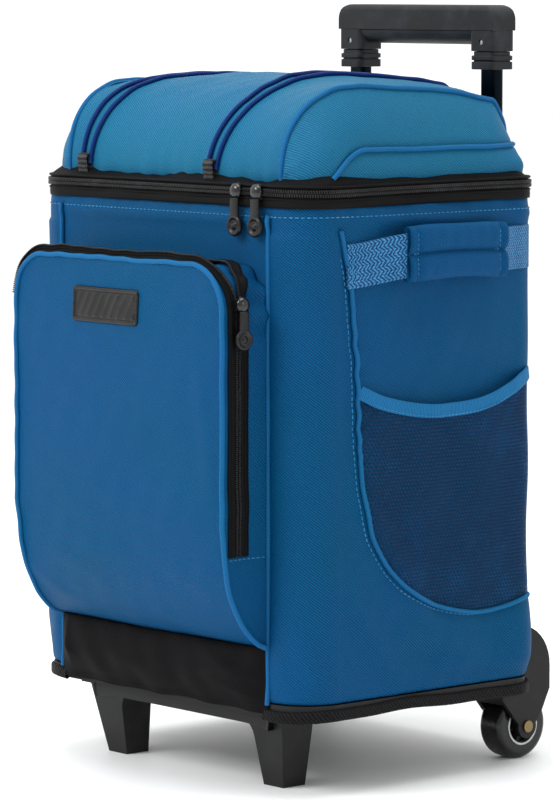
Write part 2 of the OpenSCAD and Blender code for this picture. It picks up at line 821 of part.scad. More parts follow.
// Puts a slider piece on the right gusset of the front pocket, with the chain upright
module at_pocket_slider() {
  translate([pocket_w / 2 + 0.8 + eps, pocket_tape_y + pocket_tape_w / 2, pocket_slider_z])
    rotate([0, 0, 90]) children();
}
module pocket_slider() {
  plate_y = -1 - free_gap;
  color(grey) at_pocket_slider() {
    translate([-slider_h / 2, plate_y - 1.6, -slider_w / 2]) cube([slider_h, 1.6, slider_w]);
    for (s = [-1, 1]) translate([s * 4.6 - 0.8, plate_y - 0.1, -slider_w / 2]) cube([1.6, 1.2, slider_w]);
    for (s = [-1, 1]) translate([s * 2.4 - 0.6, -chain_out - free_gap - 4.4, -4]) cube([1.2, 3.4, 3]);
    translate([-2.5, -chain_out - free_gap - 3.3, -2.5]) rotate([0, 90, 0]) cylinder(r = pin_r, h = 5);
  }
}
module pocket_puller() { at_pocket_slider() puller_body(); }

// ---------- lid ----------

// Depth of step i along the crest line, and the line's height and slope at depth y
function crest_y(i) = shoulder_y + (lid_slope_y - shoulder_y) * i / lid_steps;
function crest_fall(y) = 2 * lid_bow * (y - lid_crest_y);
function crest_z(y, inset = 0) = lid_top_z - inset - lid_bow * pow(y - lid_crest_y, 2);

// Lid outline from the side, drawn in by inset: steep front, round shoulder, bowed crest, sloped back
module lid_side(inset = 0) {
  f = lid_front_y + inset;
  r = lid_shoulder_r - inset;
  shoulder = [for (i = [0:lid_steps - 1]) let (a = 180 - 90 * i / lid_steps)
    [shoulder_y + r * cos(a), shoulder_z + r * sin(a)]];
  crest = [for (i = [0:lid_steps]) [crest_y(i), crest_z(crest_y(i), inset)]];
  polygon(concat([[f, lid_opening_z]], shoulder, crest,
    [[lid_back_y - inset - 2, zip_z + lid_back_h], [lid_back_y - inset, lid_opening_z]]));
}

module lid_solid(inset) {
  intersection() {
    along_x(-half_w, body_w) lid_side(inset);
    plate(zip_z, 2 * lid_h, lid_inset + inset - 1);
  }
}

module lid_shell() {
  color(light_blue) difference() {
    lid_solid(0);
    lid_solid(fabric_t);
  }
}

module lid_foam() {
  color("white") difference() {
    lid_solid(fabric_t + touch);
    lid_solid(fabric_t + touch + foam_t - 2);
  }
}

// Black band between the zipper and the lid
module lid_skirt() {
  color(black) {
    wall(zip_z + free_gap / 2 + touch, lid_opening_z - zip_z - free_gap / 2 - 2 * touch, 0.6, fabric_t + 0.6);
    wall(lid_opening_z - touch - fabric_t, fabric_t, fabric_t + 0.4, lid_inset + 2);
  }
}

// Where each cord pair starts at the front, how far it leans over on its way back, and how far it fans out
function cord_x(side) = -27 + side * cord_pair_gap / 2;
function cord_lean(side) = side < 0 ? 12 : 17;
function cord_fan(side) = side < 0 ? 4 : 11;

// Webbing tabs that hold the cords at the front and the back of the lid
module lid_cord_tabs() {
  color(grey) for (s = [-1, 1]) {
    back_w = tab_w + 2 * cord_fan(s);
    translate([cord_x(s) - tab_w / 2, lid_front_y - tab_t - touch, lid_opening_z]) cube([tab_w, tab_t, tab_h]);
    translate([cord_x(s) + cord_lean(s) - back_w / 2, lid_back_y + touch, lid_opening_z]) cube([back_w, tab_t, tab_h]);
  }
}

// A cord's route over the lid: up the front, round the shoulder, along the crest and down the back
function cord_route(x, lean) =
  let (o = cord_d / 2 + touch,
       f = lid_front_y - o,
       r = lid_shoulder_r + o,
       low = lid_opening_z + tab_h + touch,
       slope_y = lid_slope_y + o / 2,
       top_z = crest_z(lid_slope_y) + o,
       back_z = zip_z + lid_back_h + o / 2)
  concat(
    [[x, f, low], [x, f + lid_lean / 2, (low + shoulder_z) / 2]],
    [for (i = [0:lid_steps]) let (a = 180 - 90 * i / lid_steps) [x, shoulder_y + r * cos(a), shoulder_z + r * sin(a)]],
    [for (i = [1:lid_steps - 1]) let (y = crest_y(i))
      [x + lean * i * 7 / 9 / lid_steps, y, crest_z(y) + o * norm([1, crest_fall(y)])]],
    [for (i = [0:3]) let (t = i / 3)
      [x + lean * (7 + 2 * t) / 9, slope_y + (lid_back_y - 2 + o - slope_y) * t, top_z + (back_z - top_z) * t]],
    [[x + lean, lid_back_y + o, low]]);

// A round tube along a route whose points share nearly one upright plane
module cord_along(p) {
  n = len(p);
  sides = 8;
  dir = [for (i = [0:n - 1]) let (d = p[min(i + 1, n - 1)] - p[max(i - 1, 0)]) d / norm(d)];
  rings = [for (i = [0:n - 1]) let (u = [1, 0, 0], v = cross(dir[i], u) / norm(cross(dir[i], u)))
    for (k = [0:sides - 1]) p[i] + cord_d / 2 * (cos(360 * k / sides) * u + sin(360 * k / sides) * v)];
  walls = [for (i = [0:n - 2]) for (k = [0:sides - 1])
    let (a = i * sides + k, b = i * sides + (k + 1) % sides) [a, b, b + sides, a + sides]];
  polyhedron(rings, concat([[for (k = [sides - 1:-1:0]) k]], walls, [[for (k = [0:sides - 1]) (n - 1) * sides + k]]));
}

module lid_cords(side) {
  color("#0d2c6c") for (s = [-1, 1])
    cord_along(cord_route(cord_x(side) + s * cord_gap / 2, cord_lean(side) + s * cord_fan(side)));
}
module left_lid_cords() { lid_cords(-1); }
module right_lid_cords() { lid_cords(1); }

base_board();
base_cover();
front_leg_bracket();
bracket_screws();
left_wheel_housing();
right_wheel_housing();
housing_screws();
left_axle();
right_axle();
left_tyre();
right_tyre();
left_hub();
right_hub();
left_bush();
right_bush();
rear_crossbar();
handle_top_guide();
left_outer_tube();
right_outer_tube();
left_mid_tube();
right_mid_tube();
mid_tube_collars();
mid_tube_plugs();
left_inner_tube();
right_inner_tube();
inner_tube_plugs();
grip_upper_shell();
grip_lower_shell();
grip_collars();
grip_rivets();
back_sleeve();
bag_shell();
foam_lining();
tub_liner();
front_boot();
front_pocket();
pocket_zipper();
pocket_slider();
pocket_puller();
badge();
left_mesh_pocket();
right_mesh_pocket();
left_mesh_binding();
right_mesh_binding();
left_strap();
right_strap();
left_grip_wrap();
right_grip_wrap();
lower_zipper();
upper_zipper();
left_slider();
right_slider();
left_puller();
right_puller();
lid_shell();
lid_foam();
lid_skirt();
lid_cord_tabs();
left_lid_cords();
right_lid_cords();
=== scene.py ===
"""Soft-sided cooler on wheels with a telescoping pull handle.

Sizes are in millimetres until a mesh is made, and every piece stands in the frame's own axes:
X across the front, Y from the front panel to the back panel, Z up from the floor.
"""
from __future__ import annotations

import logging
import math
from dataclasses import dataclass, field
from enum import Enum
from typing import Callable, Sequence

import bmesh
import bpy
import numpy as np
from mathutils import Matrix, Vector

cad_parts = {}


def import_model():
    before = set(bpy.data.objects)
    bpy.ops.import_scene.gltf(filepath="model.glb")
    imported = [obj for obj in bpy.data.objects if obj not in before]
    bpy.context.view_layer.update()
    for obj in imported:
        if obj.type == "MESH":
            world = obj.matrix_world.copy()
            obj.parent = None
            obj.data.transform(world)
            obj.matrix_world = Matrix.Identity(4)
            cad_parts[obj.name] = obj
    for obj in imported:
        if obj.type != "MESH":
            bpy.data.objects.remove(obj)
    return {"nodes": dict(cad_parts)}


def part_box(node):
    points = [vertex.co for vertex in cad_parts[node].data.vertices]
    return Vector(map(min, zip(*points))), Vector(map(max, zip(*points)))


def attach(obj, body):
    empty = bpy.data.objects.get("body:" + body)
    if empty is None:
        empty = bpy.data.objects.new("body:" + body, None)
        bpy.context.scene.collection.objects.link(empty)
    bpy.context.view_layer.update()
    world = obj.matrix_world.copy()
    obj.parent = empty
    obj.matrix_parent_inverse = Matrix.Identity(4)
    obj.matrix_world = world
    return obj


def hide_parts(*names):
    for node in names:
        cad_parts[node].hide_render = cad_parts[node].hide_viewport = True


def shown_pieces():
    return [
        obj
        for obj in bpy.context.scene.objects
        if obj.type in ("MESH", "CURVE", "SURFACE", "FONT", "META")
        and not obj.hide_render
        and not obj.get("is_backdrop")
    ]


LOG = logging.getLogger("cooler")
MM = 0.001
Array = np.ndarray
Object = bpy.types.Object
Material = bpy.types.Material
Tree = bpy.types.NodeTree
Node = bpy.types.Node
Socket = bpy.types.NodeSocket
NODES: dict[str, Object] = {}


# ---------- numbers ----------


def linear(code: str) -> tuple[float, float, float, float]:
    """Turns an sRGB hex colour into linear light.

    Args:
        code: six hex digits after a hash.

    Returns:
        Linear red, green, blue and an alpha of one.
    """
    parts = [int(code[i : i + 2], 16) / 255 for i in (1, 3, 5)]
    lit = [c / 12.92 if c <= 0.04045 else ((c + 0.055) / 1.055) ** 2.4 for c in parts]
    return (lit[0], lit[1], lit[2], 1.0)


def smooth(x: Array, low: float, high: float) -> Array:
    """Rises from 0 at low to 1 at high along a cubic with level ends.

    Args:
        x: values to look up.
        low: where the rise starts.
        high: where the rise ends.

    Returns:
        The risen values, from 0 to 1.
    """
    t = np.clip((np.asarray(x, float) - low) / (high - low), 0.0, 1.0)
    return t * t * (3 - 2 * t)


def arc(centre: Sequence[float], radius: float, start: float, stop: float, steps: int = 12) -> Array:
    """Points on a circle: centre + radius (cos a, sin a) for a from start to stop degrees.

    Args:
        centre: the circle's middle in its own plane.
        radius: its radius.
        start: first angle in degrees.
        stop: last angle in degrees.
        steps: how many stretches the arc has.

    Returns:
        An array of points in the plane.
    """
    a = np.radians(np.linspace(start, stop, steps + 1))
    return np.stack([centre[0] + radius * np.cos(a), centre[1] + radius * np.sin(a)], 1)


def spline(points: Sequence[Sequence[float]], per: int = 10) -> Array:
    """A Catmull-Rom curve through the points, with the end points repeated.

    Args:
        points: the points that the curve goes through.
        per: how many stretches it has between two points.

    Returns:
        The points along the curve.
    """
    p = np.asarray(points, float)
    p = np.concatenate([2 * p[:1] - p[1:2], p, 2 * p[-1:] - p[-2:-1]])
    t = np.linspace(0, 1, per, endpoint=False)[None, :, None]
    a, b, c, d = (p[i : len(p) - 3 + i][:, None, :] for i in range(4))
    curve = 0.5 * (2 * b + (c - a) * t + (2 * a - 5 * b + 4 * c - d) * t**2 + (3 * b - a - 3 * c + d) * t**3)
    return np.concatenate([curve.reshape(-1, p.shape[1]), p[-2:-1]])


def spots(x: float | Array, y: float | Array, z: float | Array) -> Array:
    """Points in three dimensions from numbers and arrays of one length."""
    return np.stack(np.broadcast_arrays(x, y, z), -1)


def lengths(path: Array) -> Array:
    """Distance along a path to each of its points.

    Args:
        path: points in two or three dimensions.

    Returns:
        Distances, starting from 0.
    """
    return np.concatenate([[0.0], np.cumsum(np.linalg.norm(np.diff(path, axis=0), axis=1))])


def even(path: Array, step: float) -> Array:
    """Spreads points evenly along a path.

    Args:
        path: the path.
        step: the wanted distance between two points.

    Returns:
        Points about step apart, with both ends kept.
    """
    along = lengths(path)
    at = np.linspace(0, along[-1], max(2, int(round(along[-1] / step)) + 1))
    return np.stack([np.interp(at, along, path[:, k]) for k in range(path.shape[1])], 1)


def unit(v: Array) -> Array:
    """Scales vectors to length one, leaving a vector of no length alone.

    Args:
        v: vectors along the last axis.

    Returns:
        The unit vectors.
    """
    return v / np.maximum(np.linalg.norm(v, axis=-1, keepdims=True), 1e-9)


def ripple(a: Array, b: Array, size: float, seed: int) -> Array:
    """Soft cloth waves: a sum of seven sines of two parameters with seeded directions and phases.

    Args:
        a: first parameter in mm.
        b: second parameter in mm.
        size: typical distance between two waves in mm.
        seed: picks the directions.

    Returns:
        Heights from about -1 to 1.
    """
    rng = np.random.default_rng(seed)
    total = np.zeros(np.broadcast(a, b).shape)
    turns, phases, stretches = rng.uniform(0, math.pi, 7), rng.uniform(0, 6.28, 7), rng.uniform(0.6, 1.7, 7)
    for turn, phase, stretch in zip(turns, phases, stretches):
        k = 2 * math.pi * stretch / size
        total = total + np.sin(k * (a * math.cos(turn) + b * math.sin(turn)) + phase) / 3.0
    return total


@dataclass(frozen=True)
class Fold:
    """A ridge or crease: a bell curve across a line between two places on a surface."""

    start: tuple[float, float]
    end: tuple[float, float]
    height: float
    width: float

    def at(self, a: Array, b: Array) -> Array:
        """Height times exp(-(distance to the line / width) squared), fading at its ends.

        Args:
            a: first parameter of the surface in mm.
            b: second parameter of the surface in mm.

        Returns:
            How far the fold lifts each place.
        """
        p, q = np.array(self.start, float), np.array(self.end, float)
        way = q - p
        t = np.clip(((a - p[0]) * way[0] + (b - p[1]) * way[1]) / (way @ way), 0, 1)
        gap = np.hypot(a - p[0] - t * way[0], b - p[1] - t * way[1])
        return self.height * np.exp(-((gap / self.width) ** 2)) * (0.35 + 0.65 * np.sin(math.pi * t) ** 0.6)


def seam_dip(a: Array, b: Array, line: Array, depth: float, width: float) -> Array:
    """The valley that a sewn seam pulls into padded cloth: a bell curve round a line.

    Args:
        a: first parameter of the surface in mm.
        b: second parameter of the surface in mm.
        line: the seam's points in the two parameters.
        depth: how deep the valley is.
        width: its half width.

    Returns:
        A negative height for each place.
    """
    shape = np.broadcast(a, b).shape
    flat = np.stack([np.broadcast_to(a, shape).ravel(), np.broadcast_to(b, shape).ravel()], 1)
    gap = np.full(len(flat), 1e9)
    near = np.all((flat > line.min(0) - 4 * width) & (flat < line.max(0) + 4 * width), axis=1)
    if near.any():
        gap[near] = np.min(np.linalg.norm(flat[near][:, None, :] - line[None, ::2, :], axis=2), axis=1)
    return -depth * np.exp(-((gap / width) ** 2)).reshape(shape)


# ---------- meshes ----------


def place(mesh: bpy.types.Mesh, name: str, body: str, slot: str, finish: Material) -> Object:
    """Makes a mesh an object that rides on a body and has one finish.

    Args:
        mesh: the mesh, in metres.
        name: the piece's name.
        body: the body that it rides on.
        slot: the record's material slot; not used.
        finish: the material.

    Returns:
        The new object.
    """
    obj = bpy.data.objects.new(name, mesh)
    bpy.context.scene.collection.objects.link(obj)
    mesh.materials.append(finish)
    mesh.polygons.foreach_set("use_smooth", np.ones(len(mesh.polygons), bool))
    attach(obj, body)
    return obj


def raw_mesh(name: str, points: Array, faces: Sequence, uv: Array | None = None) -> bpy.types.Mesh:
    """Puts points in mm and faces into a mesh in metres.

    Args:
        name: the mesh's name.
        points: its points.
        faces: the corner numbers of each face.
        uv: one pair for each face corner, in metres, or None.

    Returns:
        The mesh.
    """
    mesh = bpy.data.meshes.new(name)
    mesh.from_pydata((np.asarray(points, float) * MM).tolist(), [], np.asarray(faces).tolist()
                     if isinstance(faces, np.ndarray) else [list(map(int, f)) for f in faces])
    if uv is not None:
        layer = mesh.uv_layers.new(name="cloth")
        layer.uv.foreach_set("vector", np.asarray(uv, np.float32).ravel())
    mesh.update()
    return mesh


def grid(points: Array, wrap_u: bool = False, wrap_v: bool = False, flip: bool = False,
         uv: Array | None = None) -> tuple[Array, Array, Array]:
    """Quads of a grid of points, with cloth coordinates that are the mean distances along both ways.

    Args:
        points: an array of rows, columns and three numbers in mm.
        wrap_u: joins the last row to the first.
        wrap_v: joins the last column to the first.
        flip: turns the faces round.
        uv: cloth coordinates in mm for each point, used in place of the distances.

    Returns:
        The points, the faces and the cloth coordinates of each face corner.
    """
    nu, nv = points.shape[:2]
    ring = np.concatenate([points, points[:1]]) if wrap_u else points
    ring = np.concatenate([ring, ring[:, :1]], 1) if wrap_v else ring
    if uv is None:
        du = np.linalg.norm(np.diff(ring, axis=0), axis=2).mean(1)
        dv = np.linalg.norm(np.diff(ring, axis=1), axis=2).mean(0)
        u, v = (np.concatenate([[0], np.cumsum(gaps)]) for gaps in (du, dv))
        u, v = np.meshgrid(u, v, indexing="ij")
        uv = np.stack([u, v], 2)
    i, j = np.meshgrid(np.arange(ring.shape[0] - 1), np.arange(ring.shape[1] - 1), indexing="ij")
    corners = [(i, j), (i + 1, j), (i + 1, j + 1), (i, j + 1)]
    corners = corners[::-1] if flip else corners
    faces = np.stack([(a % nu) * nv + b % nv for a, b in corners], 2).reshape(-1, 4)
    loops = np.stack([uv[a, b] for a, b in corners], 2).reshape(-1, 2) * MM
    return points.reshape(-1, 3), faces, loops


def join(parts: Sequence[tuple[Array, Array, Array]]) -> tuple[Array, list, Array]:
    """Lays several grids into one set of points, faces and cloth coordinates.

    Args:
        parts: what grid() or tube() returns.

    Returns:
        The same three things for all of them together.
    """
    points, faces, loops, start = [], [], [], 0
    for p, f, l in parts:
        points.append(p)
        faces += [[int(k) + start for k in face] for face in f]
        loops.append(l)
        start += len(p)
    return np.concatenate(points), faces, np.concatenate(loops)


def tube(path: Array, ring: Array, up: Array, closed: bool = False, grow: Array | None = None,
         capped: bool = True) -> tuple[Array, list, Array]:
    """Carries a closed profile along a path: place + a * side + b * up, with side = direction x up.

    Args:
        path: the path's points in mm.
        ring: the profile's points (a, b), going round once.
        up: one direction, or one for each point, that b follows.
        closed: joins the path's end to its start.
        grow: a factor for the profile at each point.
        capped: closes both ends of an open path.

    Returns:
        Points, faces and cloth coordinates.
    """
    ahead = np.roll(path, -1, 0) - np.roll(path, 1, 0)
    if not closed:
        ahead[0], ahead[-1] = path[1] - path[0], path[-1] - path[-2]
    ahead = unit(ahead)
    up = np.broadcast_to(np.asarray(up, float), path.shape)
    up = unit(up - ahead * np.sum(up * ahead, axis=1, keepdims=True))
    side = np.cross(ahead, up)
    size = np.ones(len(path)) if grow is None else grow
    turn = ring[:, 0] @ np.roll(ring[:, 1], -1) - ring[:, 1] @ np.roll(ring[:, 0], -1)
    points = (path[:, None] + size[:, None, None] * (ring[None, :, 0, None] * side[:, None]
              + ring[None, :, 1, None] * up[:, None]))
    flat, faces, loops = grid(points, wrap_u=closed, wrap_v=True, flip=turn < 0)
    if closed or not capped:
        return flat, faces.tolist(), loops
    m, n = len(ring), len(path)
    ends = [list(range(m))[::-1], [(n - 1) * m + k for k in range(m)]]
    ends = [e[::-1] for e in ends] if turn < 0 else ends
    extra = np.concatenate([ring, ring[::-1]]) * MM
    return flat, faces.tolist() + ends, np.concatenate([loops, extra])


def round_ring(radius: float, sides: int = 10, squash: float = 1.0) -> Array:
    """A circle's or ellipse's points, for a profile.

    Args:
        radius: the radius across.
        sides: how many points it has.
        squash: the radius up, as a share of the radius across.

    Returns:
        The profile's points.
    """
    a = 2 * math.pi * np.arange(sides) / sides
    return np.stack([radius * np.cos(a), radius * squash * np.sin(a)], 1)


def flat_ring(width: float, thick: float, corner: float | None = None, steps: int = 2) -> Array:
    """A rectangle with round corners, for a strap's or tape's profile.

    Args:
        width: its size across.
        thick: its size up.
        corner: the corner's radius, or None for just under half the thickness.
        steps: stretches in each corner.

    Returns:
        The profile's points.
    """
    r = min(width, thick) * 0.45 if corner is None else corner
    x, y = width / 2 - r, thick / 2 - r
    return np.concatenate([arc((x, y), r, 0, 90, steps), arc((-x, y), r, 90, 180, steps),
                           arc((-x, -y), r, 180, 270, steps), arc((x, -y), r, 270, 360, steps)])


def copies(points: Array, faces: Sequence[Sequence[int]], at: Array, axes: Array) -> tuple[Array, Array]:
    """Repeats a small shape: each point becomes at + axes . point.

    Args:
        points: the small shape's points.
        faces: its faces, all with the same number of corners.
        at: the place of each copy.
        axes: three direction vectors for each copy, as columns.

    Returns:
        All points and all faces.
    """
    every = at[:, None, :] + np.einsum("nij,kj->nki", axes, points)
    shift = (np.arange(len(at)) * len(points))[:, None, None]
    return every.reshape(-1, 3), (np.asarray(faces)[None] + shift).reshape(-1, len(faces[0]))


def bead(length: float, width: float, high: float) -> tuple[Array, list[list[int]]]:
    """A small lozenge of four sides with narrowed ends, for a stitch or a zipper tooth.

    Args:
        length: its size along its first axis.
        width: its size along the second.
        high: its size along the third.

    Returns:
        Its points and its faces.
    """
    rows = [(-0.5, 0.45), (-0.28, 1.0), (0.28, 1.0), (0.5, 0.45)]
    a = np.array([math.pi / 4 + k * math.pi / 2 for k in range(4)])
    points = np.concatenate([
        np.stack([np.full(4, x * length), s * width * np.cos(a) * 0.7, s * high * np.sin(a) * 0.7], 1)
        for x, s in rows])
    faces = [[r + k, r + (k + 1) % 4, r + 4 + (k + 1) % 4, r + 4 + k] for r in (0, 4, 8) for k in range(4)]
    return points, [f[::-1] for f in faces] + [[0, 1, 2, 3], [15, 14, 13, 12]]


def lathe(profile: Sequence, centre: Array, axis: Array, sides: int = 36) -> tuple[Array, list]:
    """A turned solid: every (radius, height) is carried round the axis; flat faces close both ends.

    Args:
        profile: radius and height from the front's middle to the back's.
        centre: a place on the axis.
        axis: the axis, towards the front.
        sides: faces round the axis.

    Returns:
        Points and faces.
    """
    shape, ahead = np.array(profile, float), unit(np.array(axis, float))
    side = unit(np.cross(ahead, [0.3, 0.5, 0.8]))
    a = np.linspace(0, 2 * math.pi, sides, endpoint=False)[:, None]
    ring = np.cos(a) * side + np.sin(a) * np.cross(ahead, side)
    rows = centre + shape[:, None, :1] * ring[None] + shape[:, None, 1:] * ahead
    k = np.arange(sides)
    base = (np.arange(len(shape) - 1) * sides)[:, None, None]
    quads = base + np.stack([k, k + sides, (k + 1) % sides + sides, (k + 1) % sides], 1)[None]
    ends = [k.tolist(), ((len(shape) - 1) * sides + k)[::-1].tolist()]
    return rows.reshape(-1, 3), quads.reshape(-1, 4).tolist() + ends


def frames_along(path: Array, up: Array, step: float, offset: float = 0.0) -> tuple[Array, Array]:
    """Places and axes at even steps along a path: direction, side and up as columns.

    Args:
        path: the path in mm.
        up: one direction, or one for each point.
        step: the distance between two places.
        offset: where the first place is.

    Returns:
        The places and the axes.
    """
    along = lengths(path)
    at = np.arange(offset, along[-1], step)
    up = np.broadcast_to(np.asarray(up, float), path.shape)
    spot = np.stack([np.interp(at, along, path[:, k]) for k in range(3)], 1)
    grad = np.gradient(path, along, axis=0)
    ahead = unit(np.stack([np.interp(at, along, grad[:, k]) for k in range(3)], 1))
    lift = np.stack([np.interp(at, along, up[:, k]) for k in range(3)], 1)
    lift = unit(lift - ahead * np.sum(lift * ahead, axis=1, keepdims=True))
    return spot, np.stack([ahead, np.cross(lift, ahead), lift], 2)


def stitches(path: Array, up: Array, length: float = 3.0, gap: float = 1.5,
             thread: float = 0.55) -> tuple[Array, Array]:
    """A row of lock stitches along a seam.

    Args:
        path: the seam in mm.
        up: the direction away from the cloth.
        length: a stitch's length.
        gap: the space between two stitches.
        thread: the thread's thickness.

    Returns:
        Points and faces of all stitches.
    """
    spot, axes = frames_along(path, up, length + gap, length)
    points, faces = bead(length, thread * 1.5, thread)
    return copies(points, faces, spot, axes)


# ---------- finishes ----------


def add(tree: Tree, kind: str, inputs: dict | None = None, **settings: object) -> Node:
    """Adds a node with its settings, values and links.

    Args:
        tree: the material's node tree.
        kind: the node's type, without the prefix that all shader nodes share.
        inputs: a value, or another node's socket, for each input by name or number.
        settings: the node's own properties.

    Returns:
        The new node.
    """
    node = tree.nodes.new("ShaderNode" + kind)
    for key, value in settings.items():
        setattr(node, key, value)
    for key, value in (inputs or {}).items():
        if isinstance(value, Socket):
            tree.links.new(value, node.inputs[key])
        else:
            node.inputs[key].default_value = value
    return node


class Weave(Enum):
    """How a cloth's threads cross."""

    TWILL = "twill"
    PLAIN = "plain"
    HERRINGBONE = "herringbone"
    RIB = "rib"


@dataclass(frozen=True)
class Finish:
    """What every finish has: a name, a main colour and a shine."""

    name: str
    dark: str
    light: str
    rough: float = 0.6

    def made(self) -> Material:
        """The material, built the first time that it is asked for."""
        known = bpy.data.materials.get(self.name)
        if known is not None:
            return known
        made = bpy.data.materials.new(self.name)
        made.use_nodes = True
        tree = made.node_tree
        tree.nodes.clear()
        shader = add(tree, "BsdfPrincipled", {"Roughness": self.rough})
        add(tree, "OutputMaterial", {0: shader.outputs[0]})
        self.dress(tree, shader)
        return made

    def dress(self, tree: Tree, shader: Node) -> None:
        """Adds the pattern nodes and links them to the shader. Each kind of finish does this its own way.

        Args:
            tree: the node tree.
            shader: the principled shader.
        """

    def shade(self, tree: Tree, shader: Node, factor: Socket,
              cast: str, amount: float, spread: float) -> None:
        """Colours the shader from dark to light by a factor, with slow drifts towards a cast.

        Args:
            tree: the node tree.
            shader: the principled shader.
            factor: from 0, dark, to 1, light.
            cast: the colour that the drifts lean to.
            amount: how far they lean, from 0 to 1.
            spread: the drift's size in mm.
        """
        base = add(tree, "Mix", {0: factor, 6: linear(self.dark), 7: linear(self.light)}, data_type="RGBA")
        place_at = add(tree, "TexCoord").outputs["Object"]
        drift = add(tree, "TexNoise", {"Vector": place_at, "Scale": 1000 / spread, "Detail": 2.0})
        lean = add(tree, "Math", {0: drift.outputs[0], 1: 2.2 * amount, 2: -0.6 * amount},
                   operation="MULTIPLY_ADD", use_clamp=True)
        both = add(tree, "Mix", {0: lean.outputs[0], 6: base.outputs[2], 7: linear(cast)}, data_type="RGBA")
        tree.links.new(both.outputs[2], shader.inputs["Base Color"])


@dataclass(frozen=True)
class Woven(Finish):
    """Cloth woven from threads: the lines of the weave stand up and catch the light."""

    cast: str = "#2c62a8"
    weave: Weave = Weave.TWILL
    pitch: float = 1.6
    turn: float = 52.0
    column: float = 5.0
    relief: float = 0.35
    sheen: float = 0.3
    lean: float = 0.3
    creases: float = 0.8

    def dress(self, tree: Tree, shader: Node) -> None:
        """Height of the weave = a sine across the lines, times a weaker sine along them.

        Args:
            tree: the node tree.
            shader: the principled shader.
        """
        at = add(tree, "UVMap", uv_map="cloth")
        mm = add(tree, "VectorMath", {0: at.outputs[0], "Scale": 1000.0}, operation="SCALE")
        fuzz = add(tree, "TexNoise", {"Vector": mm.outputs[0], "Scale": 0.35, "Detail": 3.0})
        uv = add(tree, "SeparateXYZ", {0: mm.outputs[0]})
        across, along = self.phases(tree, uv.outputs[0], uv.outputs[1])
        wobble = add(tree, "Math", {0: fuzz.outputs[0], 1: 0.9 * self.pitch, 2: across},
                     operation="MULTIPLY_ADD")
        lines = self.wave(tree, wobble.outputs[0], self.pitch)
        threads = self.wave(tree, along, self.pitch * (1.0 if self.weave is Weave.PLAIN else 0.62))
        softer = add(tree, "Math", {0: threads, 1: 0.45, 2: 0.55}, operation="MULTIPLY_ADD")
        height = add(tree, "Math", {0: lines, 1: softer.outputs[0]}, operation="MULTIPLY")
        # Painted shade and highlight: the weave's height colours its grooves dark and its raised lines light
        self.shade(tree, shader, height.outputs[0], self.cast, self.lean, 150.0)
        body = add(tree, "TexCoord").outputs["Object"]
        rumple = add(tree, "TexNoise", {"Vector": body, "Scale": 38.0, "Detail": 3.0, "Distortion": 0.4})
        soft = add(tree, "Bump", {"Height": rumple.outputs[0], "Strength": 0.5,
                                            "Distance": self.creases * MM})
        bump = add(tree, "Bump", {"Height": height.outputs[0], "Strength": 0.8,
                                            "Distance": self.relief * MM, "Normal": soft.outputs[0]})
        tree.links.new(bump.outputs[0], shader.inputs["Normal"])
        shader.inputs["Sheen Weight"].default_value = self.sheen
        shader.inputs["Sheen Roughness"].default_value = 0.45
        shader.inputs["Sheen Tint"].default_value = linear(self.light)
        shader.inputs["Specular IOR Level"].default_value = 0.06

    def phases(self, tree: Tree, u: Socket, v: Socket) -> tuple:
        """The distance across the weave's lines and along them.

        Args:
            tree: the node tree.
            u: first cloth coordinate in mm.
            v: second cloth coordinate in mm.

        Returns:
            Two sockets in mm.
        """
        if self.weave is Weave.HERRINGBONE:
            zigzag = add(tree, "Math", {0: v, 1: self.column}, operation="PINGPONG")
            across = add(tree, "Math", {0: zigzag.outputs[0], 1: u}, operation="ADD")
            return across.outputs[0], v
        turn = math.radians(0.0 if self.weave in (Weave.RIB, Weave.PLAIN) else self.turn)
        found = []
        for a, b in ((math.cos(turn), math.sin(turn)), (-math.sin(turn), math.cos(turn))):
            part = add(tree, "Math", {0: u, 1: a}, operation="MULTIPLY")
            both = add(tree, "Math", {0: v, 1: b, 2: part.outputs[0]}, operation="MULTIPLY_ADD")
            found.append(both.outputs[0])
        return found[0], found[1]

    @staticmethod
    def wave(tree: Tree, phase: Socket, pitch: float) -> Socket:
        """0.5 + 0.5 sin(2 pi phase / pitch).

        Args:
            tree: the node tree.
            phase: a distance in mm.
            pitch: the distance between two lines in mm.

        Returns:
            A socket from 0 to 1.
        """
        angle = add(tree, "Math", {0: phase, 1: 2 * math.pi / pitch}, operation="MULTIPLY")
        sine = add(tree, "Math", {0: angle.outputs[0]}, operation="SINE")
        return add(tree, "Math", {0: sine.outputs[0], 1: 0.5, 2: 0.5}, operation="MULTIPLY_ADD").outputs[0]


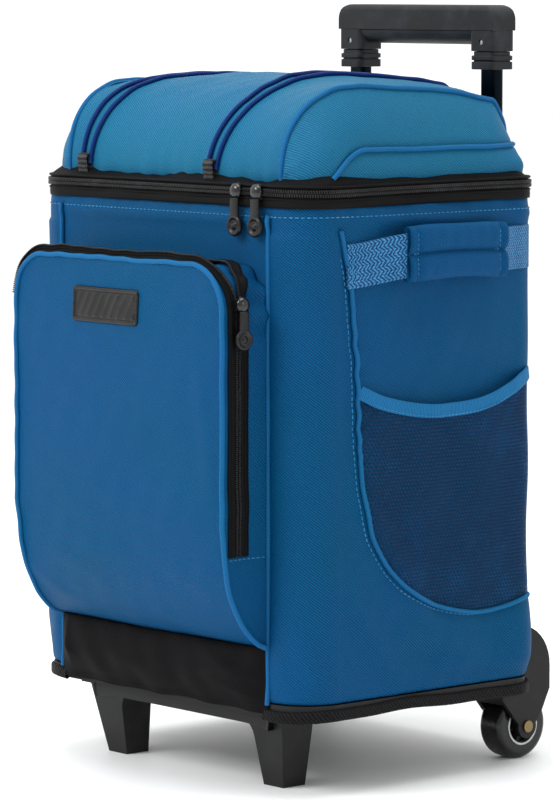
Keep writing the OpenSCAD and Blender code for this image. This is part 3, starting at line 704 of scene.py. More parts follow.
@dataclass(frozen=True)
class Moulded(Finish):
    """Plastic or rubber from a mould with an eroded grain, or paint: small bumps and faint scuffs."""

    grain: float = 0.9
    relief: float = 0.05
    coat: float = 0.0
    scuffs: float = 0.12

    def dress(self, tree: Tree, shader: Node) -> None:
        """Grain = a fine noise; scuffs = the peaks of a coarser noise, which are lighter and duller.

        Args:
            tree: the node tree.
            shader: the principled shader.
        """
        at = add(tree, "TexCoord").outputs["Object"]
        grain = add(tree, "TexNoise", {"Vector": at, "Scale": 1000 / self.grain, "Detail": 2.0})
        rubbed = add(tree, "TexNoise", {"Vector": at, "Scale": 45.0, "Detail": 6.0, "Roughness": 0.7})
        peaks = add(tree, "MapRange", {0: rubbed.outputs[0], 1: 0.5, 2: 0.78, 3: 0.0, 4: 1.0})
        self.shade(tree, shader, peaks.outputs[0], self.light, self.scuffs, 30.0)
        dull = add(tree, "Math", {0: peaks.outputs[0], 1: 0.15, 2: self.rough}, operation="MULTIPLY_ADD")
        tree.links.new(dull.outputs[0], shader.inputs["Roughness"])
        bump = add(tree, "Bump", {"Height": grain.outputs[0], "Strength": 0.7, "Distance": self.relief * MM})
        tree.links.new(bump.outputs[0], shader.inputs["Normal"])
        shader.inputs["Specular IOR Level"].default_value = 0.26
        shader.inputs["Coat Weight"].default_value = self.coat
        shader.inputs["Coat Roughness"].default_value = 0.12


@dataclass(frozen=True)
class Metal(Finish):
    """Bare metal with fine turned or brushed lines: long soft highlights."""

    lines: float = 0.25

    def dress(self, tree: Tree, shader: Node) -> None:
        """Brushing = a noise that is stretched along one direction.

        Args:
            tree: the node tree.
            shader: the principled shader.
        """
        at = add(tree, "TexCoord").outputs["Object"]
        long = add(tree, "Mapping", {0: at, 3: (1.0, 14.0, 14.0)})
        brush = add(tree, "TexNoise", {"Vector": long.outputs[0], "Scale": 70 / self.lines, "Detail": 3.0})
        self.shade(tree, shader, brush.outputs[0], self.light, 0.1, 20.0)
        bump = add(tree, "Bump", {"Height": brush.outputs[0], "Strength": 0.25, "Distance": 0.02 * MM})
        tree.links.new(bump.outputs[0], shader.inputs["Normal"])
        shader.inputs["Metallic"].default_value = 1.0


# Polyester twill: diagonal lines 1.7 mm apart, drifting slowly towards a deeper blue
TWILL = Woven("polyester_twill_blue", "#003256", "#045a82", 0.52, "#143e86", pitch=1.7, sheen=0.02, lean=0.22)
# The same twill on the lid, lighter and leaning to teal: painted light, a lit copy of the bag's twill that
# paints the stronger light falling on the lid
LID_TWILL_PAINTED_LIGHT = Woven("polyester_twill_lid_painted_light", "#0a4a6c", "#20768e", 0.5, "#2d5a9c", pitch=1.7, sheen=0.05,
                  lean=0.2)
# Bias-cut tape of the same cloth, wrapped round a core
PIPING = Woven("bias_piping_blue", "#0a4a76", "#1d709c", 0.5, "#1c4a94", Weave.PLAIN, pitch=0.9,
               relief=0.12, sheen=0.08)
# Plain-woven polyester: matt black with a slight warm cast
BLACK_CLOTH = Woven("polyester_black", "#050506", "#111113", 0.62, "#131114", Weave.TWILL, pitch=1.6,
                    relief=0.3, sheen=0.05, lean=0.15)
# Zipper tape: a narrow herringbone
TAPE = Woven("zipper_tape_black", "#070708", "#1a1a1b", 0.55, "#18181a", Weave.HERRINGBONE, pitch=1.1,
             column=1.6, relief=0.15, sheen=0.04, lean=0.1, creases=0.2)
# Polypropylene webbing: coarse shiny zigzag strands
WEBBING = Woven("webbing_herringbone_blue", "#06224e", "#4d95c6", 0.38, "#2f6fb8", Weave.HERRINGBONE,
                pitch=3.3, column=3.6, relief=0.9, sheen=0.08, lean=0.12, creases=0.2)
# Knitted elastic with fine ribs along it
ELASTIC = Woven("knitted_elastic_blue", "#0d4c7a", "#257aa8", 0.5, "#2a62b0", Weave.RIB, pitch=1.4,
                relief=0.25, sheen=0.08, lean=0.15, creases=0.2)
# Braided cover of an elastic cord: dense navy braid
BRAID = Woven("braided_cord_navy", "#051a4a", "#123a78", 0.36, "#0c2c74", Weave.HERRINGBONE, pitch=1.2,
              column=0.9, relief=0.15, sheen=0.15, lean=0.1, creases=0.05)
# Grey ribbed tape, folded into a loop
TAB_TAPE = Woven("loop_tape_grey", "#161617", "#474748", 0.55, "#3a3a3c", Weave.RIB, pitch=3.6, relief=0.3,
                 sheen=0.2, lean=0.1, creases=0.1)
# Heavy binding tape with slanting ribs
BINDING = Woven("binding_ribbed_black", "#070708", "#222224", 0.5, "#19191b", Weave.TWILL, pitch=2.4,
                turn=40.0, relief=0.7, sheen=0.1, lean=0.1, creases=0.1)
# Knitted polyester net thread
NET = Moulded("net_thread_navy", "#0b2a50", "#17497a", 0.5, grain=0.4, relief=0.05)
# Twisted polyester sewing thread
THREAD = Moulded("sewing_thread_blue", "#256f9e", "#4a97c2", 0.45, grain=0.3, relief=0.04)
DARK_THREAD = Moulded("sewing_thread_dark", "#0b0b0c", "#2a2a2c", 0.5, grain=0.3, relief=0.04)
# Nylon coil: slightly shiny black
COIL = Moulded("nylon_coil_black", "#0b0b0c", "#2c2c2e", 0.3, grain=0.5, relief=0.02)
# Die-cast zinc under black lacquer
LACQUER = Moulded("lacquered_zinc_black", "#0a0a0b", "#3a3a3c", 0.24, grain=2.0, relief=0.02, coat=0.5)
# Soft moulded rubber of the pullers
SOFT_RUBBER = Moulded("moulded_rubber_black", "#0b0b0c", "#242426", 0.38, grain=0.7, relief=0.03, coat=0.1)
# Injection-moulded polypropylene with a fine eroded grain
POLYPROPYLENE = Moulded("polypropylene_grained_black", "#0b0c0b", "#232423", 0.5, grain=0.8, relief=0.06)
# Glass-filled nylon of the grip with a coarse pebble grain
GRIP_NYLON = Moulded("nylon_pebbled_charcoal", "#131517", "#2d3135", 0.48, grain=1.5, relief=0.16)
# Anodised aluminium tube, dyed near black: mirror-like, with a cool blue tint that is a painted reflection
ANODISED = Metal("anodised_aluminium_black", "#0a0f14", "#141b23", 0.18, lines=0.4)
# Polyurethane tyre, glossy from the mould
TYRE = Moulded("polyurethane_tyre_black", "#09090a", "#242426", 0.26, grain=3.0, relief=0.03, coat=0.2)
# Zinc-plated steel
ZINC = Metal("zinc_plated_steel", "#8f9193", "#c4c6c8", 0.3)
# Yellow-passivated steel of the axle heads
BRONZE = Metal("passivated_steel_bronze", "#5f5138", "#96835c", 0.36)
# White leak-proof liner, moulded from PEVA
LINER = Moulded("peva_liner_white", "#c9cfd2", "#e4e8ea", 0.35, grain=4.0, relief=0.05)
# Closed-cell polyethylene foam
FOAM = Moulded("polyethylene_foam_white", "#d5d8d6", "#eff1ef", 0.8, grain=1.2, relief=0.2)
# Moulded EVA panel under the base with a fabric-like grain
EVA = Moulded("moulded_eva_black", "#121214", "#29292c", 0.6, grain=1.2, relief=0.1)


# ---------- places taken from the frame ----------


@dataclass(frozen=True)
class Box:
    """A node's box in mm."""

    low: Array
    high: Array

    @staticmethod
    def of(node: str) -> Box:
        """The box of a CAD node at rest."""
        low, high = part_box(node)
        return Box(np.array(low) / MM, np.array(high) / MM)

    def mid(self, axis: int) -> float:
        """The middle along an axis."""
        return float(self.low[axis] + self.high[axis]) / 2

    def size(self, axis: int) -> float:
        """The size along an axis."""
        return float(self.high[axis] - self.low[axis])


def solidify(obj: Object, thick: float, offset: float = -1.0) -> None:
    """Gives a sheet its thickness.

    Args:
        obj: the sheet.
        thick: its thickness in mm.
        offset: -1 keeps the outside where it is, 0 keeps the middle.
    """
    wall = obj.modifiers.new("wall", "SOLIDIFY")
    wall.thickness = thick * MM
    wall.offset = offset


def softened(node: str, name: str, body: str, slot: str, finish: Finish, edge: float,
             segments: int = 2) -> Object:
    """A copy of a CAD node with rounded edges that stands for it.

    Args:
        node: the CAD node.
        name: the new piece's name.
        body: the body that it rides on.
        slot: the material slot.
        finish: its finish.
        edge: the rounding's width in mm.
        segments: how many faces the rounding has.

    Returns:
        The new object.
    """
    mesh = NODES[node].data.copy()
    mesh.materials.clear()
    shape = bmesh.new()
    shape.from_mesh(mesh)
    bmesh.ops.remove_doubles(shape, verts=shape.verts, dist=0.002 * MM)
    bmesh.ops.dissolve_limit(shape, angle_limit=math.radians(0.5), verts=shape.verts, edges=shape.edges)
    shape.to_mesh(mesh)
    shape.free()
    obj = place(mesh, name, body, slot, finish.made())
    bevel = obj.modifiers.new("edge", "BEVEL")
    bevel.width = edge * MM
    bevel.segments = segments
    bevel.angle_limit = math.radians(28)
    bevel.use_clamp_overlap = True
    obj.modifiers.new("shade", "WEIGHTED_NORMAL").keep_sharp = False
    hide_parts(node)
    return obj


def dress_node(node: str, finish: Finish) -> None:
    """Gives a CAD node that stays on show its finish.

    Args:
        node: the CAD node.
        finish: the finish.
    """
    obj = NODES[node]
    if not obj.material_slots:
        obj.data.materials.append(finish.made())
    for slot in obj.material_slots:
        slot.link = "OBJECT"
        slot.material = finish.made()


def piece(name: str, parts: Sequence, body: str, slot: str, finish: Finish) -> Object:
    """Makes one object from grids or tubes.

    Args:
        name: the piece's name.
        parts: what grid() or tube() returned.
        body: the body that it rides on.
        slot: the material slot.
        finish: its finish.

    Returns:
        The new object.
    """
    points, faces, uv = join(parts) if len(parts) > 1 else parts[0]
    return place(raw_mesh(name, points, faces, uv), name, body, slot, finish.made())


def plain_piece(name: str, points: Array, faces: Sequence, body: str, slot: str, finish: Finish) -> Object:
    """Makes an object from points and faces with no cloth coordinates."""
    return place(raw_mesh(name, points, faces), name, body, slot, finish.made())


def bead_piece(name: str, groups: Sequence, body: str, slot: str, finish: Finish) -> Object:
    """Makes one object from groups of small shapes, such as rows of stitches or of zipper teeth.

    Args:
        name: the piece's name.
        groups: points and faces of each group.
        body: the body that it rides on.
        slot: the material slot.
        finish: its finish.

    Returns:
        The new object.
    """
    points = np.concatenate([group[0] for group in groups])
    shift = np.cumsum([0] + [len(group[0]) for group in groups[:-1]])
    faces = np.concatenate([group[1] + k for group, k in zip(groups, shift)])
    return plain_piece(name, points, faces, body, slot, finish)


# ---------- the bag ----------


@dataclass
class BagBody:
    """The blue bag: four soft walls on a plan with round corners, seamed in front and on both sides."""

    front_corner: float = 37.0
    back_corner: float = 22.0
    seam_x: float = 122.0
    step: float = 4.0
    side_seam: tuple = ((-84, 421), (-80, 403), (-73, 370), (-66.5, 259), (-62.5, 221), (-52, 188),
                        (-26, 156),
                        (7, 137), (48, 126.5), (80, 127), (112, 134))
    box: Box = field(init=False)

    def __post_init__(self) -> None:
        """Reads the bag's box and works out where each straight and corner of the plan begins."""
        self.box = Box.of("bag_shell")
        self.half_w, self.half_d = self.box.size(0) / 2, self.box.size(1) / 2
        rf, rb = self.front_corner, self.back_corner
        stretches = [self.half_w - rf, rf * math.pi / 2, 2 * self.half_d - rf - rb, rb * math.pi / 2,
                     self.half_w - rb]
        self.marks = np.cumsum([0.0] + stretches)
        self.low, self.top = self.box.low[2], self.box.high[2]
        side = spline(self.side_seam, 12)
        self.side_line = np.stack([self.q_of_y(side[:, 0]), side[:, 1]], 1)
        self.folds = [
            Fold((self.q_of_y(-60), 215), (self.q_of_y(10), 118), 2.2, 9.0),
            Fold((self.q_of_y(-30), 118), (self.q_of_y(70), 96), 2.6, 8.0),
            Fold((self.q_of_y(-78), 150), (self.q_of_y(-30), 90), 2.4, 10.0),
            Fold((self.q_of_y(10), 92), (self.q_of_y(105), 84), 1.8, 6.0),
            Fold((150, 120), (165, 78), 1.8, 8.0),
            Fold((132, 300), (160, 330), 1.2, 14.0),
            Fold((self.q_of_y(-70), 430), (self.q_of_y(60), 424), 1.6, 6.0),
            Fold((self.q_of_y(-40), 340), (self.q_of_y(70), 330), 1.5, 16.0),
        ]

    def q_of_y(self, y: float | Array) -> float | Array:
        """Distance round the plan, from the front's middle, to a depth on the right side."""
        return self.marks[2] + (y + self.half_d - self.front_corner)

    def outline(self, q: Array) -> tuple[Array, Array]:
        """The plan's place and outward direction at a distance round it, mirrored for negative distances.

        Args:
            q: distances from the front's middle, to the right.

        Returns:
            Places (x, y) and directions (x, y).
        """
        s, m = np.abs(q), self.marks
        hw, hd, rf, rb = self.half_w, self.half_d, self.front_corner, self.back_corner
        a = np.clip((s - m[1]) / rf, 0, math.pi / 2) - math.pi / 2
        b = np.clip((s - m[3]) / rb, 0, math.pi / 2)
        turn = np.where(s < m[2], a, np.where(s < m[3], 0.0, b))
        x = np.where(s < m[1], s, np.where(s < m[2], hw - rf + rf * np.cos(a), np.where(
            s < m[3], hw, np.where(s < m[4], hw - rb + rb * np.cos(b), hw - rb - (s - m[4])))))
        y = np.where(s < m[1], -hd, np.where(s < m[2], -hd + rf + rf * np.sin(a), np.where(
            s < m[3], -hd + rf + (s - m[2]), np.where(s < m[4], hd - rb + rb * np.sin(b), hd))))
        sign = np.where(q < 0, -1.0, 1.0)
        return np.stack([sign * x, y], -1), np.stack([sign * np.cos(turn), np.sin(turn)], -1)

    def puff(self, q: Array, z: Array) -> Array:
        """How far the cloth stands off the plan: waves, folds, a tuck at the zipper, valleys at the seams.

        Args:
            q: distances round the plan.
            z: heights.

        Returns:
            Heights off the plan, never below -1.1 mm.
        """
        s = np.abs(q)
        height = (z - self.low) / (self.top - self.low)
        ahead, behind = self.marks[2], self.marks[3]
        side = smooth(s, ahead - 20, ahead + 40) * (1 - smooth(s, behind - 50, behind))
        lift = 2.6 * side * np.sin(math.pi * np.clip(height, 0, 1))
        waves = 0.8 * ripple(q, z, 95, 4) * smooth(s, 90, 140)
        lift = lift + waves * (1 - smooth(s, self.marks[3], self.marks[4]))
        for fold in self.folds:
            lift = lift + 1.6 * fold.at(s, z)
        roll = np.exp(-(((z - self.top + 9) / 4.5) ** 2))
        panel = smooth(s, self.seam_x, self.seam_x + 2) * (1 - smooth(s, self.q_of_y(-86), self.q_of_y(-84)))
        lift = lift + 1.5 * roll * (1 - panel) + 1.5 * panel * (1 - smooth(z, self.top - 19, self.top - 16.5))
        past = self.marks[4]
        corner = smooth(s, behind - 40, behind + 5) * (1 - smooth(s, past - 15, past))
        lift = lift + 4.5 * corner * np.exp(-(((z - 98) / 36) ** 2))
        pucker = np.exp(-(self.top + 3 - z) / 9.0)
        lift = lift - 0.7 * pucker + 0.35 * pucker * np.sin(s * 2 * math.pi / 21 + 2 * np.sin(s / 37))
        lift = lift + seam_dip(s, z, self.side_line, 2.0, 5.0)
        lift = lift - 1.3 * np.exp(-(((s - self.seam_x) / 4.5) ** 2))
        lift = lift * smooth(z, self.low - 2, self.low + 18) + 0.3 * ripple(q, z, 30, 9) * side
        return np.maximum(lift, -1.1)

    def at(self, q: Array, z: Array, lift: float | Array = 0.0) -> Array:
        """The bag's surface: plan + outward direction x (puff + lift).

        Args:
            q: distances round the plan.
            z: heights.
            lift: how far to stand off the surface.

        Returns:
            Points in mm.
        """
        q, z = np.broadcast_arrays(np.asarray(q, float), np.asarray(z, float))
        flat, out = self.outline(q)
        off = (self.puff(q, z) + lift)[..., None]
        return np.concatenate([flat + out * off, z[..., None]], -1)

    def out(self, q: Array) -> Array:
        """The outward direction in three dimensions."""
        direction = self.outline(np.asarray(q, float))[1]
        return np.concatenate([direction, np.zeros(direction.shape[:-1] + (1,))], -1)

    def build(self) -> None:
        """Builds the walls, the turned-under hem, the pipings and the stitching under the zipper."""
        end = self.marks[5]
        q = np.linspace(-end, end, int(2 * end / self.step), endpoint=False)
        z = np.linspace(self.low + 4, self.top + 3, int((self.top - self.low) / 3.2))
        walls = self.at(q[:, None], z[None, :])
        hem = [self.at(q, self.low + 4 - 4 * math.sin(a), -5 * (1 - math.cos(a)))
               for a in np.linspace(1.55, 0.3, 5)]
        under = self.at(q, np.full(len(q), self.low + 0.2), -16.0)
        rows = np.concatenate([under[:, None], np.stack(hem, 1), walls], 1)
        u = np.broadcast_to(q[:, None], rows.shape[:2])
        u = np.concatenate([u, u[:1] + 2 * end], 0)
        v = np.concatenate([rows, rows[:1]], 0)[..., 2]
        body = piece("bag_walls", [grid(rows, wrap_u=True, uv=np.stack([u, v], 2))], "bag", "bag_fabric",
                     TWILL)
        solidify(body, 1.2)
        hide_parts("bag_shell")
        self.pipings()

    def pipings(self) -> None:
        """Pipes both front seams and both curved side seams, and stitches beside and above them."""
        parts = []
        ring = round_ring(1.9, 10)
        for sign in (-1.0, 1.0):
            line = even(self.side_line, 3.0)
            q, z = sign * line[:, 0], line[:, 1]
            parts.append(tube(self.at(q, z, 1.7), ring, self.out(q)))
            z = np.arange(self.low - 1, self.top - 2, 3.0)
            q = np.full(len(z), sign * self.seam_x)
            parts.append(tube(self.at(q, z, 1.4), ring, self.out(q)))
        piece("bag_pipings", parts, "bag", "bag_fabric", PIPING)
        q = np.linspace(-self.marks[4], self.marks[4], 400)
        rows = [stitches(self.at(q, np.full(len(q), self.top - 5.5), 0.25), self.out(q))]
        for sign in (-1.0, 1.0):
            line = even(self.side_line, 3.0)[6:-2]
            q = sign * (line[:, 0] - 5.0)
            rows.append(stitches(self.at(q, line[:, 1] - 1.5, 0.25), self.out(q)))
        bead_piece("bag_stitching", rows, "bag", "bag_fabric", THREAD)


@dataclass
class Boot:
    """The black cloth panel under the front pocket, with the pocket's weight pressing folds into it."""

    bag: BagBody
    top: float = 113.0
    low: float = 62.5
    folds: tuple = (Fold((-112, 108), (-104, 74), 2.4, 4.0), Fold((-120, 96), (-96, 78), 1.8, 4.0),
                    Fold((40, 82), (116, 97), 3.0, 6.0), Fold((66, 100), (121, 88), 2.0, 4.5),
                    Fold((-60, 90), (10, 76), 1.8, 9.0), Fold((84, 78), (121, 76), 1.6, 3.5))

    def build(self) -> None:
        """Front of the boot = front panel + a bulge that swells towards its lower edge + folds."""
        half = self.bag.seam_x
        x = np.linspace(-half - 1, half + 1, 100)[:, None]
        z = np.linspace(self.low, self.top, 26)[None, :]
        across = np.clip(1 - (np.abs(x) / (half + 1)) ** 10, 0, 1)
        up = (z - self.low) / (self.top - self.low)
        bulge = (3.0 + 7.5 * np.sin(math.pi * np.clip(1.08 * (1 - up), 0, 1)) ** 0.7) * across
        for fold in self.folds:
            bulge = bulge + fold.at(x, z) * across
        bulge = bulge + 0.7 * ripple(x, z, 40, 12) * across
        y = -self.bag.half_d - 0.6 - bulge
        rows = np.stack([x + 0 * z, y, z + 0 * x + 1.2 * ripple(x, z, 70, 3) * (1 - up) * across], 2)
        roll = rows[:, :1] + np.array([0, 1.0, 0]) * (rows[:, :1, 1:2] * -1 - self.bag.half_d + 8) * 0.9
        roll[..., 2] = self.low - 2.0
        boot = piece("front_boot_cloth", [grid(np.concatenate([roll, rows], 1))], "bag", "black_fabric",
                     BLACK_CLOTH)
        solidify(boot, 1.2)
        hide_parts("front_boot")


# ---------- the front pocket ----------


@dataclass
class FrontPocket:
    """A deep pocket: a front panel with round upper corners on a gusset with a zipper that stands open."""

    bag: BagBody
    radius: float = 34.0
    closed_z: float = 368.0
    tape_low: float = 182.0
    mouth: float = 84.0
    side_line: tuple = ((112, -123), (117, -133), (134, -148), (164, -160.5), (205, -165.5))
    box: Box = field(init=False)

    def __post_init__(self) -> None:
        """Works out the front outline, from the lower right corner round to the lower left one."""
        self.box = Box.of("front_pocket")
        self.half, self.top, self.low = self.box.size(0) / 2, self.box.high[2] - 7.0, self.box.low[2]
        self.front, self.back = self.box.low[1], -self.bag.half_d - 0.6
        r, h = self.radius, self.half
        right = np.concatenate([[[h, self.low]], arc((h - r, self.top - r), r, 0, 90, 14)])
        line = np.concatenate([right, right[::-1] * [-1, 1]])
        self.line = even(line, 3.0)
        self.along = lengths(self.line)
        grad = unit(np.gradient(self.line, self.along, axis=0))
        self.outward = np.stack([grad[:, 1], -grad[:, 0]], 1)
        self.side = spline(self.side_line, 8)
        self.slider_s = self.closed_z - self.low
        self.corner_s = self.top - r - self.low

    def front_y(self, z: Array) -> Array:
        """Depth of the front panel's edge at a height: full above, drawn in to the bag below."""
        return np.interp(z, self.side[:, 0], self.side[:, 1], right=self.front + 0.5)

    def bulge(self, x: Array, z: Array) -> Array:
        """How far the panel stands forward of its edge: a low crown with folds and waves.

        Args:
            x: places across.
            z: heights.

        Returns:
            Distances in mm.
        """
        up = smooth(z, self.low, self.low + 70) * (1 - 0.75 * smooth(z, self.top - 45, self.top))
        crown = 5.0 * (1 - np.abs(x / self.half) ** 3) * (0.35 + 0.65 * up)
        folds = (Fold((-118, 150), (-60, 122), 1.6, 7.0), Fold((20, 124), (110, 118), 1.4, 5.0),
                 Fold((96, 330), (112, 220), 1.2, 8.0))
        for fold in folds:
            crown = crown + fold.at(x, z)
        return crown + 0.55 * ripple(x, z, 110, 21) + 0.25 * ripple(x, z, 34, 8)

    def panel(self, x: Array, z: Array, lift: float = 0.0) -> Array:
        """The front panel: depth = edge depth - bulge - lift.

        Args:
            x: places across.
            z: heights.
            lift: how far off the surface.

        Returns:
            Points in mm.
        """
        x, z = np.broadcast_arrays(np.asarray(x, float), np.asarray(z, float))
        edge = np.clip((self.half - np.abs(x)) / 7, 0, 1) * np.clip((self.top - z) / 7, 0, 1)
        y = self.front_y(z) - self.bulge(x, z) * np.sqrt(edge * (2 - edge)) - lift
        return np.stack([x, y, z], -1)

    def gusset(self, s: Array, y: Array, lift: float | Array = 0.0) -> Array:
        """The gusset: outline(s) + outward x (lift - sag), at depth y, with a crumpled upper corner.

        Args:
            s: places along the outline.
            y: depths.
            lift: how far off the surface.

        Returns:
            Points in mm.
        """
        s, y = np.broadcast_arrays(np.asarray(s, float), np.asarray(y, float))
        x = np.interp(s, self.along, self.line[:, 0])
        z = np.interp(s, self.along, self.line[:, 1])
        out = np.stack([np.interp(s, self.along, self.outward[:, k]) for k in (0, 1)], -1)
        total = self.along[-1]
        low_end = smooth(s, 0, 60) * smooth(total - s, 0, 60)
        depth = np.clip((y - self.front) / (self.back - self.front), 0, 1)
        sag = 1.6 * np.sin(math.pi * depth) * low_end
        corner = np.exp(-(((s - self.corner_s - 12) / 26) ** 2)) * smooth(depth, 0.35, 0.75)
        crumple = corner * (2.6 * np.sin(s / 3.4 + 5 * depth) + 1.6 * np.sin(s / 6.1 - 9 * depth))
        off = lift - sag + crumple + 0.5 * ripple(s, y, 40, 31) * low_end
        return np.stack([x + out[..., 0] * off, y, z + out[..., 1] * off], -1)

    def out(self, s: Array) -> Array:
        """Outward direction of the gusset."""
        o = np.stack([np.interp(s, self.along, self.outward[:, k]) for k in (0, 1)], -1)
        return np.stack([o[:, 0], 0 * s, o[:, 1]], 1)

    def open_back(self, s: Array) -> Array:
        """Depth of the gusset's back edge: at the bag, and drawn forward round the mouth.

        Args:
            s: places along the outline.

        Returns:
            Depths in mm.
        """
        x = np.interp(s, self.along, self.line[:, 0])
        z = np.interp(s, self.along, self.line[:, 1])
        beside = smooth(np.abs(x), self.mouth - 12, self.mouth + 8)
        gape = smooth(z, self.top - 8, self.top - 1) * (1 - beside)
        return self.back + gape * (self.front + 26 - self.back)

    def build(self) -> None:
        """Builds panel, gusset, lining, pipings, tapes, chains and the stitched seam."""
        z = np.concatenate([np.linspace(self.low, self.top - self.radius, 62)[:-1],
                            self.top - self.radius + self.radius * np.sin(np.linspace(0, math.pi / 2, 14))])
        drop = np.clip(z - (self.top - self.radius), 0, self.radius)
        half = self.half - self.radius + np.sqrt(np.maximum(self.radius**2 - drop**2, 0))
        t = np.sin(np.linspace(-1, 1, 66) * math.pi / 2) * 0.35 + np.linspace(-1, 1, 66) * 0.65
        x = t[:, None] * half[None, :]
        rows = self.panel(x, np.broadcast_to(z[None], x.shape))
        panel = piece("pocket_panel", [grid(rows, uv=rows[..., [0, 2]])], "bag", "bag_fabric", TWILL)
        solidify(panel, 1.2)
        s = self.along
        y0 = self.front_y(np.interp(s, self.along, self.line[:, 1]))
        y1 = self.open_back(s)
        t = np.linspace(0, 1, 18)[None, :]
        y = y0[:, None] * (1 - t) + y1[:, None] * t
        gusset = piece("pocket_gusset", [grid(self.gusset(s[:, None], y), flip=True)], "bag", "bag_fabric",
                       TWILL)
        solidify(gusset, 1.2)
        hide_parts("front_pocket")
        ring = round_ring(2.0, 10)
        z_edge = np.interp(s, self.along, self.line[:, 1])
        edge = self.gusset(s, self.front_y(z_edge), 0.4)
        piece("pocket_piping", [tube(edge + [0, -0.8, 0], ring, [0, -1, 0])], "bag", "bag_fabric", PIPING)
        self.zipper()
        self.lining()
        seam = np.linspace(y0[20] + 2, self.back, 20)
        at = self.gusset(np.full(20, self.tape_low - self.low - 2.0), seam, 0.3)
        points, faces = stitches(at, self.out(np.full(20, 60.0)))
        plain_piece("gusset_stitching", points, faces, "bag", "bag_fabric", THREAD)

    def lining(self) -> None:
        """A dark sheet inside the mouth, from the panel's top edge down and back to the bag."""
        x = np.linspace(-self.half + 6, self.half - 6, 40)[:, None]
        down = np.linspace(0, 1, 14)[None, :]
        y = self.front + 8 + (self.back - 3 - self.front - 8) * smooth(down, 0.35, 1.0)
        z = self.top - 12 - 110 * np.sin(math.pi * np.clip(down, 0, 1)) ** 0.6 - 6 * down
        rows = np.stack([x + 0 * y, y + 0 * x, z + 1.5 * ripple(x, 60 * down, 45, 2)], 2)
        inner = piece("pocket_lining", [grid(rows)], "bag", "black_fabric", BLACK_CLOTH)
        solidify(inner, 0.8)

    def strip(self, s: Array, middle: Array, width: float, lift: float) -> tuple:
        """A tape on the gusset: rows across its width at each place along it."""
        across = np.linspace(-0.5, 0.5, 5)
        rows = self.gusset(s[:, None], middle[:, None] + width * across[None, :], lift)
        return grid(rows, flip=True)

    def standing(self, s: Array, t: Array, off: float = 0.0) -> Array:
        """The front tape past the slider: it turns from lying on the gusset to standing up round the mouth.

        Args:
            s: places along the gusset.
            t: from 0 at the panel's seam to 1 at the teeth.
            off: how far off its face.

        Returns:
            Points in mm.
        """
        s = s[:, None]
        up = smooth(s, self.slider_s + 4, self.slider_s + 44)
        edge = self.front + 0.5
        y = (1 - up) * (self.front + 5.5 + 9.5 * t) + up * (edge + 1.0 + 2.2 * t - off)
        lift = (1 - up) * (0.9 + off) + up * (0.4 + 7.6 * t + 0.5 * np.sin(s / 17))
        return self.gusset(s, y, lift)

    def zipper(self) -> None:
        """Closed up to the slider; past it, one tape follows the panel and one the gusset's back."""
        end = self.along[-1] - self.corner_s
        mid = self.front + 16.0
        low = np.arange(self.tape_low - self.low, self.slider_s, 2.0)
        high = np.arange(self.slider_s - 3, end, 2.0)
        spread = smooth(high, self.slider_s, self.slider_s + 75)
        back = mid + 5 + spread * (self.back - mid - 10)
        tapes = [self.strip(low, np.full(len(low), mid), 20.0, 0.9),
                 grid(self.standing(high, np.linspace(0, 1, 6)[None, :]), flip=True),
                 self.strip(high, back + 1.0, 9.0, 0.9 + 1.6 * np.sin(spread * math.pi)[:, None])]
        tape = piece("pocket_tape", tapes, "bag", "black_fabric", TAPE)
        solidify(tape, 0.7, 0.0)
        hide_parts("pocket_zipper")
        coils = []
        for side in (-1, 1):
            coils.append((self.gusset(low, mid + 1.5 * side, 1.7), low, 0.5 * (side > 0)))
        coils.append((self.standing(high, np.full((1, 1), 0.93), 0.8)[:, 0], high, 0.0))
        coils.append((self.gusset(high, back - 3.0, 1.9 + 1.6 * np.sin(spread * math.pi)), high, 0.5))
        shape, faces = bead(3.4, 1.0, 1.3)
        every = []
        for path, s, shift in coils:
            spot, axes = frames_along(path, self.out(s), 1.6, 0.8 + 0.8 * shift)
            every.append(copies(shape, faces, spot, axes[:, :, [1, 0, 2]] * [1, -1, 1]))
        bead_piece("pocket_chain", every, "bag", "zipper", COIL)
        ridge = [tube(self.gusset(low, mid + 6.8 * k, 1.3), round_ring(0.8, 6), self.out(low))
                 for k in (-1, 1)]
        for t in (0.3, 0.6):
            ridge.append(tube(self.standing(high, np.full((1, 1), t), 0.5)[:, 0], round_ring(0.7, 6),
                              self.out(high)))
        piece("pocket_tape_ridges", ridge, "bag", "black_fabric", TAPE)


